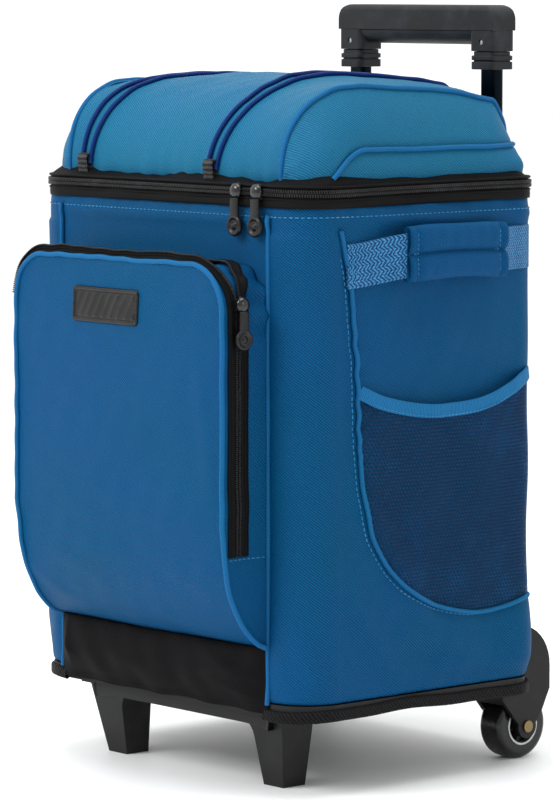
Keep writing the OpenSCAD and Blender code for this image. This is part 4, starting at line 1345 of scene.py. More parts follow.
@dataclass
class Badge:
    """A moulded rubber patch with a raised rim and slanted ribs, bent to the pocket's panel."""

    pocket: FrontPocket

    def build(self) -> None:
        """Thickness over the panel = base + rim near the outline + ribs from a slanted sine."""
        box = Box.of("badge")
        cx, cz, w, h, r = box.mid(0), box.mid(2), box.size(0) / 2, box.size(2) / 2, 4.0
        v = np.linspace(-1, 1, 60)
        u = np.linspace(-1, 1, 150)
        z = v[None, :] * h
        drop = np.clip(np.abs(z) - (h - r), 0, r)
        x = u[:, None] * (w - r + np.sqrt(r * r - drop * drop))
        z = z + 0 * x
        gap = np.minimum(h - np.abs(z), (w - r + np.sqrt(r * r - drop * drop)) - np.abs(x))
        rim = smooth(gap, 0.4, 1.0) * (1 - smooth(gap, 2.2, 2.8))
        field_at = smooth(gap, 4.2, 5.0)
        ribs = smooth(np.sin((x - 0.55 * z) * 2 * math.pi / 9.0), 0.1, 0.5)
        high = 0.9 + 0.7 * rim + 0.7 * field_at * ribs
        high = high * smooth(gap, -0.1, 0.35)
        rows = self.pocket.panel(cx + x, cz + z)
        rows[..., 1] -= high + 0.15
        patch = piece("pocket_badge", [grid(rows)], "bag", "patch", SOFT_RUBBER)
        solidify(patch, 0.5)
        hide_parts("badge")
        loop = np.concatenate([arc((cx + sx * (w - 6), cz + sz * (h - 6)), 2.5, a, a + 90, 5)
                               for sx, sz, a in ((1, 1, 0), (-1, 1, 90), (-1, -1, 180), (1, -1, 270))])
        loop = even(np.concatenate([loop, loop[:1]]), 1.0)
        at = self.pocket.panel(loop[:, 0], loop[:, 1])
        at[:, 1] -= 1.1
        points, faces = stitches(at, [0, -1, 0], 2.2, 1.2, 0.45)
        plain_piece("badge_stitching", points, faces, "bag", "patch", DARK_THREAD)


# ---------- the lid ----------


@dataclass
class Lid:
    """A padded dome: a crowned strip between two piped crest seams, and a side panel on each side."""

    bag: BagBody
    front_half: float = 124.0
    run: float = 380.0
    box: Box = field(init=False)

    def __post_init__(self) -> None:
        """Works out the profile in depth and height in the middle, which is soft, and at the crest seams."""
        self.box = Box.of("lid_shell")
        self.front, self.back = self.box.low[1], self.box.high[1] + 0.3
        self.hem, self.top = self.box.low[2] - 1.5, self.box.high[2] + 2.0
        self.half = self.box.size(0) / 2 + 2.0
        self.v = np.linspace(0, 1, 130)
        self.middle, self.normal = self.profile(108.0, 2.0, 0.0, 16.0)
        self.rim, self.rim_normal = self.profile(78.0, 2.6, 5.0, 12.0)

    def profile(self, depth: float, power: float, less: float, fall: float) -> tuple[Array, Array]:
        """A quarter of (y / depth)^power + (z / height)^power = 1 in front, a bowed top and a soft back.

        Args:
            depth: how deep the rounded front is.
            power: 2 for an ellipse, more for a tighter shoulder.
            less: how far it stays under the lid's highest point.
            fall: how far the top falls towards the back.

        Returns:
            Places (y, z) and outward directions (y, z) along the profile.
        """
        high = self.top - self.hem - less
        a = np.radians(np.linspace(0, 90, 60))
        y, z = depth * (1 - np.cos(a) ** (2 / power)), high * np.sin(a) ** (2 / power)
        front = np.stack([self.front + y, self.hem + z], 1)
        y = np.linspace(self.front + depth, self.back - 15, 30)[1:]
        top = np.stack([y, self.hem + high - fall * ((y - y[0]) / 128) ** 2], 1)
        end = top[-1, 1]
        back = spline([top[-1], (self.back - 10, end - 5), (self.back - 1.5, end - 22),
                       (self.back, self.hem + 8),
                       (self.back, self.hem)], 8)
        line = even(np.concatenate([front, top[:-1], back]), 1.0)
        at = lengths(line) / lengths(line)[-1]
        places = np.stack([np.interp(self.v, at, line[:, k]) for k in (0, 1)], 1)
        grad = unit(np.gradient(places, self.v, axis=0))
        return places, np.stack([-grad[:, 1], grad[:, 0]], 1)

    def strip(self, x: Array, v: Array, lift: float | Array = 0.0) -> Array:
        """The top strip: the middle profile blended to the crest's by |x / half|^3, with a tuck at each hem.

        Args:
            x: distance from the middle in mm.
            v: place along the profile, from 0 at the front to 1 at the back.
            lift: how far off the surface.

        Returns:
            Points in mm.
        """
        x, v = np.broadcast_arrays(np.asarray(x, float), np.asarray(v, float))
        u = np.clip(np.abs(x / self.edge(v)), 0, 1)
        tables = [np.stack([np.interp(v, self.v, table[:, k]) for k in (0, 1)], -1)
                  for table in (self.middle, self.rim, self.normal, self.rim_normal)]
        w = (u**3)[..., None]
        at = tables[0] * (1 - w) + tables[1] * w
        out = unit(tables[2] * (1 - w) + tables[3] * w)
        top = smooth(v, 0.06, 0.3) * (1 - smooth(v, 0.86, 0.97))
        hem = 1.6 * np.exp(-v / 0.012) + 1.6 * np.exp(-(1 - v) / 0.012)
        pucker = np.exp(-v / 0.045) * (1.0 * np.sin(x / 3.3 + 2 * np.sin(x / 19)) + 0.8 * np.sin(x / 7.7))
        wave = 0.9 * ripple(x, v * self.run, 120, 41) + 0.25 * ripple(x, v * self.run, 33, 5)
        off = lift - hem + 0.9 * pucker + wave * top - 1.2 * np.exp(-(1 - u) / 0.03)
        return np.stack([x, at[..., 0] + out[..., 0] * off, at[..., 1] + out[..., 1] * off], -1)

    def edge(self, v: Array) -> Array:
        """Half width of the strip: narrow on the front face, out to the lid's side over the shoulder."""
        return self.front_half + 5.0 * smooth(v, 0.05, 0.4) - 2.0 * smooth(v, 0.8, 1.0)

    def hem_line(self, v: Array) -> Array:
        """The side panel's lower edge: round the front corner, along the side, round the back corner.

        Args:
            v: place along the edge, from 0 at the front to 1 at the back.

        Returns:
            Points in mm.
        """
        cf, cb = 32.0, 11.0
        stretches = np.array([cf * math.pi / 2, self.back - self.front - cf - cb, cb * math.pi / 2])
        marks = np.cumsum([0.0, *stretches])
        s = np.interp(v, [0.0, 0.2, 0.9, 1.0], marks)
        a = np.clip(s / cf, 0, math.pi / 2) - math.pi / 2
        b = np.clip((s - marks[2]) / cb, 0, math.pi / 2)
        x = np.where(s < marks[1], self.half - cf + cf * np.cos(a), self.half - cb + cb * np.cos(b))
        y = np.where(s < marks[1], self.front + cf + cf * np.sin(a), np.where(
            s < marks[2], self.front + cf + (s - marks[1]), self.back - cb + cb * np.sin(b)))
        return np.stack([x, y, np.full_like(x, self.hem)], -1)

    def side(self, v: Array, t: Array, lift: float | Array = 0.0) -> Array:
        """The side panel: height (1 - t) crest + t hem, and the plan the same by 1 - (1 - t)^2.3.

        The low band's seam pulls a valley into it.

        Args:
            v: place along both edges, from 0 at the front to 1 at the back.
            t: 0 at the crest seam to 1 at the hem.
            lift: how far off the surface.

        Returns:
            Points in mm.
        """
        v, t = np.broadcast_arrays(np.asarray(v, float), np.asarray(t, float))
        top = self.strip(self.edge(v), v)
        low = self.hem_line(v)
        centre = spots(self.half - 34, np.clip(low[..., 1], self.front + 34, self.back - 24), 0 * v)
        out = low - centre
        out[..., 2] = 0
        out = unit(out)
        across = np.sin(math.pi * np.clip(t, 0, 1) ** 0.72)
        body = 2.6 * across**0.8 * smooth(v, 0.0, 0.25) * (1 - smooth(v, 0.9, 1.0))
        line = self.band_t(v)
        dip = -1.8 * np.exp(-(((t - line) / 0.055) ** 2)) * smooth(v, 0.17, 0.24)
        band = 2.2 * np.exp(-(((t - (1 + line) / 2) / 0.16) ** 2)) * smooth(v, 0.2, 0.3)
        wave = 0.7 * ripple(v * 300, t * 60, 80, 17) * across + 0.2 * ripple(v * 300, t * 60, 26, 3) * across
        off = body + dip + band + wave + lift
        share = np.stack([1 - (1 - t) ** 2.3, 1 - (1 - t) ** 2.3, t], -1)
        return (1 - share) * top + share * low + out * off[..., None]

    def band_t(self, v: Array) -> Array:
        """Where the low band's seam runs: it rises from the hem at the front and then stays level.

        Args:
            v: place along the side panel's edges.

        Returns:
            The seam's place between crest, 0, and hem, 1.
        """
        rise = smooth(v, 0.155, 0.30)
        top = np.interp(v, self.v, self.rim[:, 1])
        level = (self.hem + 25.0 - top) / (self.hem - top)
        return np.clip(1 - rise**0.55 * (1 - level), 0.1, 1.0)

    def build(self) -> None:
        """Builds the strip, both side panels, the crest pipings, the band pipings and the padding inside."""
        v = self.v
        u = np.linspace(-1, 1, 84)
        x = u[:, None] * self.edge(v)[None, :]
        strip = grid(self.strip(x, v[None, :]), uv=np.stack([x, np.broadcast_to(v * self.run, x.shape)], 2))
        parts, rings = [strip], []
        t = np.linspace(0, 1, 30)
        pipe = round_ring(1.9, 10)
        inner = v[1:-2]
        inner_band = np.linspace(0.172, 0.925, 90)
        for sign in (-1.0, 1.0):
            flip = np.array([sign, 1, 1])
            rows = self.side(v[:, None], t[None, :]) * flip
            parts.append(grid(rows, flip=sign > 0, uv=np.stack([rows[..., 1], rows[..., 2]], 2)))
            out = np.array([sign * 0.6, 0, 0.8])
            crest = self.side(inner, 0.0 * inner + 0.012, 0.4) * flip
            rings.append(tube(crest + out * 0.7, pipe, out))
            band = self.side(inner_band, self.band_t(inner_band), 1.9) * flip
            rings.append(tube(band, pipe, [sign, 0, 0]))
        # The cover takes the lighter, teal copy of the twill: painted light on the lid
        lid = piece("lid_cover", parts, "lid", "lid_fabric", LID_TWILL_PAINTED_LIGHT)
        solidify(lid, 1.4)
        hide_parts("lid_shell")
        piece("lid_pipings", rings, "lid", "lid_fabric", PIPING)
        self.skirt()
        self.lining()

    def skirt(self) -> None:
        """The black cloth between the zipper and the dome: a band that leans in and ends in a wavy edge."""
        bag, low = self.bag, Box.of("lid_skirt").low[2]
        end = bag.marks[5]
        q = np.linspace(-end, end, 330, endpoint=False)
        t = np.linspace(0, 1, 9)[None, :]
        side = smooth(np.abs(q), bag.marks[1], bag.marks[2] + 10)[:, None]
        high = 9.5 + 5.5 * side + 1.5 * np.sin(q / 23)[:, None] + 0.8 * np.sin(q / 9.1)[:, None]
        flat, out = bag.outline(q)
        lean = -1.0 - 9.5 * smooth(t, 0.1, 1.0) + 2.6 * np.sin(math.pi * t)
        inward = lean + 0.6 * np.sin(q / 6.3)[:, None] * t
        plan = flat[:, None] + out[:, None] * inward[..., None]
        points = np.concatenate([plan, (low + high * t)[..., None]], -1)
        band = piece("lid_skirt_cloth", [grid(points, wrap_u=True)], "lid", "black_fabric", BLACK_CLOTH)
        solidify(band, 1.0)
        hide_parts("lid_skirt")

    def lining(self) -> None:
        """The padding inside the lid: a pillow, its plan scaled by cos(a) ^ 0.25, its height by sin(a)."""
        foam = Box.of("lid_foam")
        low, thick, wide = foam.low[2] + 0.3, 9.0, foam.size(0) / 2 - 2.5
        back, front = foam.high[1] - 2.5, foam.low[1] + 2.5
        a = np.radians(np.linspace(-90, 90, 40))[:, None]
        b = np.linspace(0, 2 * math.pi, 160, endpoint=False)[None, :]
        scale = np.abs(np.cos(a)) ** 0.25
        x = wide * np.sign(np.cos(b)) * np.abs(np.cos(b)) ** 0.28 * scale
        y = (back + front) / 2 + (back - front) / 2 * np.sign(np.sin(b)) * np.abs(np.sin(b)) ** 0.28 * scale
        quilt = 0.9 * np.abs(np.sin(x * math.pi / 96)) ** 0.4 * np.abs(np.sin(y * math.pi / 84)) ** 0.4
        z = low + thick / 2 * (1 + np.sin(a)) - 0 * b
        z = z + np.where(np.sin(a) < 0, 1.0 - quilt, 0.0) * np.abs(np.sin(a))
        points, faces, loops = grid(np.stack([x, y, z], 2), wrap_v=True)
        liner = piece("lid_lining", [(points, faces, loops)], "lid", "liner", LINER)
        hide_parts("lid_foam")


@dataclass
class LidCords:
    """Two pairs of elastic cords over the lid, held in folded tape loops at both ends."""

    lid: Lid
    cord_r: float = 1.8
    gap: float = 9.0
    leans: tuple = (12.0, 17.0)
    fans: tuple = (4.0, 11.0)

    def build(self) -> None:
        """Each cord keeps its distance over the lid's strip while its place across drifts with a cubic."""
        tabs = Box.of("lid_cord_tabs")
        pair = 150.0
        middle = -27.0
        loops = []
        for side, name in enumerate(("left", "right")):
            parts = []
            x0 = middle + (side - 0.5) * pair
            for sign in (-1, 1):
                v = np.linspace(0.028, 0.965, 150)
                start = x0 + sign * self.gap / 2
                stop = x0 + self.leans[side] + sign * (self.gap / 2 + self.fans[side])
                x = start + (stop - start) * smooth(v, -0.05, 1.1) + sign * 1.6 * np.sin(math.pi * v)
                path = self.lid.strip(x, v, self.cord_r * 0.9)
                around = np.stack([0 * v, np.interp(v, self.lid.v, self.lid.normal[:, 0]),
                                   np.interp(v, self.lid.v, self.lid.normal[:, 1])], 1)
                parts.append(tube(path, round_ring(self.cord_r, 12), around))
            cords = piece(f"{name}_cord_pair", parts, "lid", "cord", BRAID)
            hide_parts(f"{name}_lid_cords")
            loops.append(self.loop(x0, tabs.size(2), front=True, width=11.0))
            loops.append(self.loop(x0 + self.leans[side], tabs.size(2), False, 13.0 + 2 * self.fans[side]))
        tape = piece("cord_loops", loops, "lid", "tab", TAB_TAPE)
        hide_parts("lid_cord_tabs")

    def loop(self, x: float, high: float, front: bool, width: float) -> tuple:
        """A tape that comes up from the hem, folds over the cord and goes back down.

        Args:
            x: its middle.
            high: its height.
            front: at the front or the back of the lid.
            width: its width.

        Returns:
            A tube with a flat profile.
        """
        lid = self.lid
        y, sign = (lid.front - 1.5, 1.0) if front else (lid.back + 0.5, -1.0)
        z = lid.hem + 3
        line = np.array([(y + sign * 1.6, z), (y + sign * 1.3, z + high * 0.6),
                         (y + sign * 1.2, z + high - 2.2),
                         (y - sign * 1.1, z + high), (y - sign * 3.4, z + high - 2.4),
                         (y - sign * 3.2, z + high * 0.5),
                         (y - sign * 2.0, z - 4)])
        line = spline(line, 5)
        path = np.concatenate([np.full((len(line), 1), x), line], 1)
        return tube(path, flat_ring(width, 1.3), np.cross([1.0, 0, 0], np.gradient(path, axis=0)))


# ---------- the main zipper ----------


@dataclass
class MainZipper:
    """A coil zipper round the front and sides: tapes, two rows of coil turns, two sliders with pullers."""

    bag: BagBody
    pitch: float = 1.9

    def path(self, q: Array, z: float | Array, lift: float) -> Array:
        """A line round the bag's plan that droops a little at the front corners and rises to the back.

        Args:
            q: distances round the plan.
            z: the line's height.
            lift: how far off the plan.

        Returns:
            Points in mm.
        """
        flat, out = self.bag.outline(q)
        s = np.abs(q)
        high = z + 0.9 * smooth(s, self.bag.marks[2],
                                self.bag.marks[3]) - 0.7 * np.exp(-(((s - 175) / 40) ** 2))
        return np.concatenate([flat + out * lift, np.broadcast_to(high, s.shape)[..., None]], -1)

    def build(self) -> None:
        """Builds what belongs to the bag below the teeth and to the lid above them."""
        low, high = Box.of("lower_zipper"), Box.of("upper_zipper")
        q = np.linspace(-self.bag.marks[4] + 6, self.bag.marks[4] - 6, 420)
        end = self.bag.marks[5]
        ring_q = np.linspace(-end, end, 380, endpoint=False)
        z = np.linspace(low.low[2] + 1.2, low.high[2] - 0.4, 8)
        t = np.linspace(0, 1, 8)
        bow = 0.9 * np.sin(math.pi * t) + 0.35 * np.sin(ring_q[:, None] / 11) - 0.6 + 1.6 * (1 - t)
        rows = self.path(np.repeat(ring_q[:, None], 8, 1), z[None, :], 0.0)
        rows[..., :2] += self.bag.outline(ring_q)[1][:, None] * bow[..., None]
        tape = piece("lower_zipper_tape", [grid(rows, wrap_u=True)], "bag", "black_fabric", TAPE)
        solidify(tape, 1.0)
        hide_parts("lower_zipper")
        up = self.bag.out(q)
        cord = round_ring(1.0, 8)
        rows_of_teeth = (("lower", "bag", low.high[2] - 1.2, low.high[2] - 4.6),
                         ("upper", "lid", high.low[2] + 1.2, high.high[2] + 2.0))
        for name, body, place_z, edge_z in rows_of_teeth:
            path = self.path(q, float(place_z), 1.5)
            spot, axes = frames_along(path, up, self.pitch, 0.95 if body == "lid" else 0.0)
            shape, faces = bead(3.0, 1.1, 1.7)
            points, faces = copies(shape, faces, spot, axes[:, :, [1, 0, 2]] * [1, -1, 1])
            teeth = plain_piece(f"{name}_zipper_coil", points, faces, body, "zipper", COIL)
            ridge = [tube(self.path(q, float(edge_z), 0.6), cord, up)]
            piece(f"{name}_zipper_ridge", ridge, body, "black_fabric", TAPE)
            if body == "lid":
                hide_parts("upper_zipper")
        band = np.linspace(high.low[2] + 0.2, high.high[2] + 2.4, 5)
        rows = self.path(np.repeat(q[:, None], 5, 1), band[None, :], 0.0)
        upper = piece("upper_zipper_tape", [grid(rows)], "lid", "black_fabric", TAPE)
        solidify(upper, 0.9)
        for side in ("left", "right"):
            self.slider(f"{side}_slider", f"{side}_zip_slider", Box.of(f"{side}_slider"))
            self.puller(f"{side}_puller", f"{side}_zip_puller", Box.of(f"{side}_puller"), 1)
        self.slider("pocket_slider", "pocket_zip_slider", Box.of("pocket_slider"), turned=True)
        self.puller("pocket_puller", "pocket_zip_puller", Box.of("pocket_puller"), 0)

    def slider(self, node: str, body: str, box: Box, turned: bool = False) -> None:
        """A slider: the die-cast body with rounded edges and a bridge that holds the puller.

        Args:
            node: the CAD node.
            body: its body.
            box: its box.
            turned: whether it faces along X.
        """
        softened(node, f"{node}_body", body, "zip_metal", LACQUER, 0.7, 3)
        face = np.array([1.0, 0, 0]) if turned else np.array([0, -1.0, 0])
        at = [box.high[0] - 2.0 if turned else box.mid(0), box.mid(1) if turned else box.low[1] + 2.0,
              box.mid(2)]
        dome = [(0.2, 3.4), (2.6, 3.2), (4.4, 2.5), (5.6, 1.3), (6.0, 0.0), (5.8, -1.2), (0.2, -1.4)]
        plain_piece(f"{node}_dome", *lathe(dome, np.array(at), face), body, "zip_metal", LACQUER)
        a = np.radians(np.linspace(0, 180, 15))
        if turned:
            x0 = box.high[0] - 4.2
            path = spots(x0 + 3.9 * np.sin(a), box.mid(1), box.mid(2) + 1.0 + 4.4 * np.cos(a))
            up = [0, 1, 0]
        else:
            y0 = box.low[1] + 4.2
            path = spots(box.mid(0), y0 - 3.9 * np.sin(a), box.mid(2) + 1.0 + 4.4 * np.cos(a))
            up = [1, 0, 0]
        piece(f"{node}_bridge", [tube(path, flat_ring(1.3, 3.4, 0.5), up)], body, "zip_metal", LACQUER)

    def puller(self, node: str, body: str, box: Box, axis: int) -> None:
        """A puller: a turned disc with a raised rim and a boss, on a flat neck.

        Args:
            node: the CAD node.
            body: its body.
            box: its box.
            axis: 1 where the disc faces forward, 0 where it faces to the right.
        """
        face = np.array([0, -1.0, 0]) if axis else np.array([1.0, 0, 0])
        centre = np.array([box.mid(0), box.mid(1), box.low[2] + 7.0])
        profile = [(0.2, 2.3), (1.7, 2.2), (2.4, 1.5), (2.7, 0.8), (4.7, 0.8), (5.2, 1.5), (6.3, 2.1),
                   (7.3, 1.8), (7.8, 0.8),
                   (7.8, -0.8), (7.2, -1.5), (0.2, -1.5)]
        disc = plain_piece(f"{node}_disc", *lathe(profile, centre, face), body, "zip_metal", SOFT_RUBBER)
        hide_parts(node)
        z = np.linspace(centre[2] + 5.5, box.high[2] - 3.4, 12)
        path = spots(centre[0], centre[1], z) + face * 0.4
        piece(f"{node}_neck", [tube(path, flat_ring(8.6, 2.6, 1.0), face)], body, "zip_metal", SOFT_RUBBER)


# ---------- side pockets and carry handles ----------


@dataclass
class SidePocket:
    """A stretch-net pocket under an elastic edge, on one side of the bag."""

    bag: BagBody
    sign: float
    name: str
    pitch: float = 3.2
    thread: float = 0.42
    edge_line: tuple = ((-68, 300), (-48, 291), (-16, 284), (16, 282), (58, 286), (110, 304))

    def __post_init__(self) -> None:
        """Works out the pocket's lower boundary, which is the bag's curved side seam, and its upper edge."""
        seam = np.stack([self.bag.side_line[:, 0] - self.bag.q_of_y(0), self.bag.side_line[:, 1]], 1)
        self.seam = even(seam[seam[:, 1] < 306], 2.0)
        self.top_line = even(spline(self.edge_line, 10), 2.0)
        self.depth = Box.of(f"{self.name}_mesh_pocket").size(0) - 1.0

    def stand(self, y: Array, z: Array) -> Array:
        """How far the net stands off the bag: least at the seam and the back, most near the edge.

        Args:
            y: depths.
            z: heights.

        Returns:
            Distances in mm.
        """
        shape = np.broadcast(y, z).shape
        flat = np.stack([np.broadcast_to(y, shape).ravel(), np.broadcast_to(z, shape).ravel()], 1)
        gap = np.concatenate([np.min(np.linalg.norm(part[:, None] - self.seam[None, ::2], axis=2), axis=1)
                              for part in np.array_split(flat, max(1, len(flat) // 4000))]).reshape(shape)
        back = 1 - smooth(y, 84, 111)
        full = (1 - np.exp(-gap / 24)) * back
        swell = full * (self.depth - 2.0) * (0.55 + 0.45 * smooth(z, 180, 285))
        return 0.9 + swell + 0.5 * ripple(y, z, 60, 6) * full

    def at(self, y: Array, z: Array, lift: float | Array = 0.0) -> Array:
        """A place on the net's surface."""
        q = self.sign * self.bag.q_of_y(y)
        return self.bag.at(q, z, self.stand(y, z) + lift)

    def inside(self, y: Array, z: Array) -> Array:
        """Whether places lie between the seam and the elastic edge.

        Args:
            y: depths.
            z: heights.

        Returns:
            True for each place inside.
        """
        top = np.interp(y, self.top_line[:, 0], self.top_line[:, 1])
        branch = self.seam[:, 0]
        low = np.argmin(self.seam[:, 1])
        order = self.seam[: low + 1][::-1]
        left = np.interp(z, order[:, 1], order[:, 0])
        floor = np.interp(y, branch[low:], self.seam[low:, 1])
        return (z < top) & (y > left) & (z > np.where(y > branch[low], floor, self.seam[low, 1])) & (y < 111)

    def build(self) -> None:
        """Net = a honeycomb of thread prisms; along its upper edge runs a band of knitted elastic."""
        p = self.pitch
        row = p * 0.866
        rows, cols = int(200 / row), int(190 / p)
        j, i = np.meshgrid(np.arange(rows), np.arange(cols), indexing="ij")
        y = -80 + p * (i + 0.5 * (j % 2))
        z = 118 + row * j
        r = p / math.sqrt(3)
        ends = []
        for a0, a1 in ((30, 90), (90, 150), (150, 210)):
            turns = [math.radians(a) for a in (a0, a1)]
            pair = [np.stack([y + r * math.cos(a), z + r * math.sin(a)], -1) for a in turns]
            ends.append(np.stack([e.reshape(-1, 2) for e in pair], 1))
        edges = np.concatenate(ends)
        keep = self.inside(edges[:, 0, 0], edges[:, 0, 1]) & self.inside(edges[:, 1, 0], edges[:, 1, 1])
        edges = edges[keep]
        a = self.at(edges[:, 0, 0], edges[:, 0, 1])
        b = self.at(edges[:, 1, 0], edges[:, 1, 1])
        out = self.bag.out(self.sign * self.bag.q_of_y(edges[:, 0, 0]))
        way = unit(b - a)
        side = np.cross(way, out) * self.thread
        corners = [side, -0.6 * side + 0.9 * self.thread * out, -0.6 * side - 0.9 * self.thread * out]
        tips = (a - way * 0.15, b + way * 0.15)
        points = np.stack([e + c for e in tips for c in corners], 1).reshape(-1, 3)
        base = (np.arange(len(a)) * 6)[:, None]
        quads = np.concatenate([base + np.array([k, (k + 1) % 3, (k + 1) % 3 + 3, k + 3]) for k in range(3)])
        caps = np.concatenate([base + np.array([2, 1, 0]), base + np.array([3, 4, 5])])
        faces = quads.tolist() + caps.tolist()
        net = plain_piece(f"{self.name}_pocket_net", points, faces, "bag", "mesh", NET)
        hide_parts(f"{self.name}_mesh_pocket")
        line = self.top_line
        path = self.at(line[:, 0], line[:, 1] + 1.5, 0.3)
        up = self.bag.out(self.sign * self.bag.q_of_y(line[:, 0]))
        band = piece(f"{self.name}_pocket_edge", [tube(path, flat_ring(10.5, 1.9, 0.7), up)], "bag",
                     "elastic", ELASTIC)
        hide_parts(f"{self.name}_mesh_binding")
        row = line[3:-3]
        at = self.at(row[:, 0], row[:, 1] - 2.4, 1.4)
        points, faces = stitches(at, self.bag.out(self.sign * self.bag.q_of_y(row[:, 0])), 2.4, 1.2, 0.4)
        plain_piece(f"{self.name}_pocket_edge_stitching", points, faces, "bag", "elastic", THREAD)


@dataclass
class CarryHandle:
    """A webbing strap with a padded wrap that closes round it in two rolls."""

    bag: BagBody
    sign: float
    name: str

    def build(self) -> None:
        """Builds the strap on its bow, the padded rolls and their end stitching."""
        strap, wrap = Box.of(f"{self.name}_strap"), Box.of(f"{self.name}_grip_wrap")
        z, far = strap.mid(2), max(abs(strap.low[0]), abs(strap.high[0]))
        near = self.bag.half_w + 2.6
        y0, y1 = strap.low[1], strap.high[1]
        line = spline([(near - 1.2, y0), (near, y0 + 14), (near + 2.6, y0 + 26), (far - 1.2, y0 + 52),
                       (far - 0.6, y0 + 70),
                       (far - 0.6, y1 - 54), (far - 5.0, y1 - 38), (near + 1.0, y1 - 22),
                       (near - 2.2, y1 - 11), (near - 7.0, y1)], 8)
        line = even(line, 2.5)
        z = z + 4.5
        rise = z - 7.5 * (1 - smooth(line[:, 1], y0, y0 + 62))
        path = np.stack([line[:, 0] * self.sign, line[:, 1], rise], 1)
        lift = np.cross(np.gradient(path, axis=0), [0, 0, -1.0]) * self.sign
        rows = tube(path, flat_ring(strap.size(2), 1.7, 0.6), lift)
        webbing = piece(f"{self.name}_carry_strap", [rows], "bag", "webbing", WEBBING)
        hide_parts(f"{self.name}_strap")
        self.wrap(wrap, z)
        for y in (y0 + 4, y0 + 8):
            at = spots(self.sign * (near + 0.55), y, np.linspace(z - 22, z + 7, 30))
            points, faces = stitches(at, [self.sign, 0, 0], 2.6, 1.2, 0.5)
            plain_piece(f"{self.name}_strap_tack_{int(y - y0)}", points, faces, "bag", "webbing", THREAD)

    def wrap(self, box: Box, z: float) -> None:
        """Section = two soft humps round a pinched middle; the ends are pressed flat by stitching.

        Args:
            box: the CAD wrap's box.
            z: the strap's height.
        """
        mid_x = (abs(box.low[0]) + abs(box.high[0])) / 2
        step = 1.6
        ends = (box.low[1] - 9.0, box.high[1] - 9.0)
        half_h, half_t = box.size(2) / 2, box.size(0) / 2 + 1.6
        y = even(np.array([[ends[0], 0.0], [ends[1], 0.0]]), step)[:, 0]
        s = np.linspace(0, 1, len(y))[:, None]
        a = np.linspace(0, 2 * math.pi, 72, endpoint=False)[None, :]
        high = half_h * np.sin(a) * (1 + 0.02 * np.sin(9 * s))
        hump = np.sqrt(np.clip(1 - ((np.abs(np.sin(a)) - 0.5) / 0.5) ** 2, 0, 1)) ** 0.8
        from_ends = [place * len(y) * step for place in (s, 1 - s)]
        end = 1 - 0.42 * sum(np.exp(-(((far - 8) / 3.0) ** 2)) for far in from_ends)
        end = end * (0.62 + 0.38 * smooth(np.minimum(s, 1 - s), 0.0, 0.02))
        thick = (2.0 + (half_t - 1.7) * hump) * end + 0.25 * ripple(y[:, None], high, 22, 4)
        face = np.where(np.cos(a) >= 0, 1, -0.8) * thick * np.minimum(1, np.abs(np.cos(a)) * 6)
        x = mid_x + face + 1.2 * np.sin(math.pi * s)
        rows = np.stack([self.sign * x, y[:, None] + 0 * x, z + high + 1.6 * np.sin(math.pi * s) + 0 * x], 2)
        points, faces, loops = grid(rows, wrap_v=True, flip=self.sign < 0)
        m, n = rows.shape[1], rows.shape[0]
        caps = [list(range(m)), [(n - 1) * m + k for k in range(m)][::-1]]
        caps = caps if self.sign < 0 else [c[::-1] for c in caps]
        uv = np.concatenate([loops, np.zeros((2 * m, 2))])
        name = f"{self.name}_wrap"
        pad = place(raw_mesh(name, points, faces.tolist() + caps, uv), name, "bag", "bag_fabric",
                    TWILL.made())
        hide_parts(f"{self.name}_grip_wrap")
        rows_at = []
        for k in (5, len(y) - 6):
            for sign in (-1, 1):
                zz = np.linspace(1.5, half_h - 3, 12) * sign
                hump_at = np.sqrt(np.clip(1 - ((np.abs(zz) / half_h - 0.5) / 0.5) ** 2, 0, 1)) ** 0.8
                bow = 1.2 * math.sin(math.pi * float(s[k, 0]))
                reach = mid_x + (2.0 + (half_t - 1.7) * hump_at) * float(end[k, 0]) + bow + 0.2
                at = spots(self.sign * reach, y[k], z + zz)
                rows_at.append(stitches(at, [self.sign, 0, 0], 2.4, 1.1, 0.45))
        bead_piece(f"{self.name}_wrap_stitching", rows_at, "bag", "bag_fabric", THREAD)


# ---------- base, wheels and pull handle ----------


@dataclass
class Base:
    """The stiff base with its ribbed binding and the leg bracket."""

    bag: BagBody

    def build(self) -> None:
        """Binding = a thick tape round the plan, just under the bag's hem."""
        end = self.bag.marks[5]
        low = Box.of("base_cover").low[2]
        halves = []
        for sign in (-1.0, 1.0):
            q = np.linspace(self.bag.seam_x - 4, end, 200) * sign
            flat, out = self.bag.outline(q)
            wave = 1.1 * np.sin(q / 31) + 0.5 * np.sin(q / 12.3)
            plan = flat + out * (0.2 + 0.4 * np.sin(q / 19))[:, None]
            path = np.concatenate([plan, (low + 2.4 + wave)[:, None]], 1)
            halves.append(tube(path, flat_ring(4.4, 9.0, 2.0, 4), [0, 0, 1.0]))
        piece("base_binding", halves, "bag", "black_fabric", BINDING)
        bracket = Box.of("front_leg_bracket")
        x = np.linspace(bracket.low[0] + 22, bracket.high[0] - 22, 60)
        sag = np.where(np.abs(x) > 60, -3.0 * ((np.abs(x) - 60) / 44) ** 3, 0.0)
        rail = spots(x, bracket.low[1] - 1.0, bracket.high[2] - 6.0 + sag)
        piece("bracket_rail", [tube(rail, flat_ring(12.0, 7.0, 1.6), [0, -1.0, 0])], "bag",
              "black_plastic", POLYPROPYLENE)
        dress_node("base_cover", EVA)
        dress_node("base_board", POLYPROPYLENE)
        softened("front_leg_bracket", "leg_bracket", "bag", "black_plastic", POLYPROPYLENE, 1.6, 4)
        dress_node("bracket_screws", ZINC)


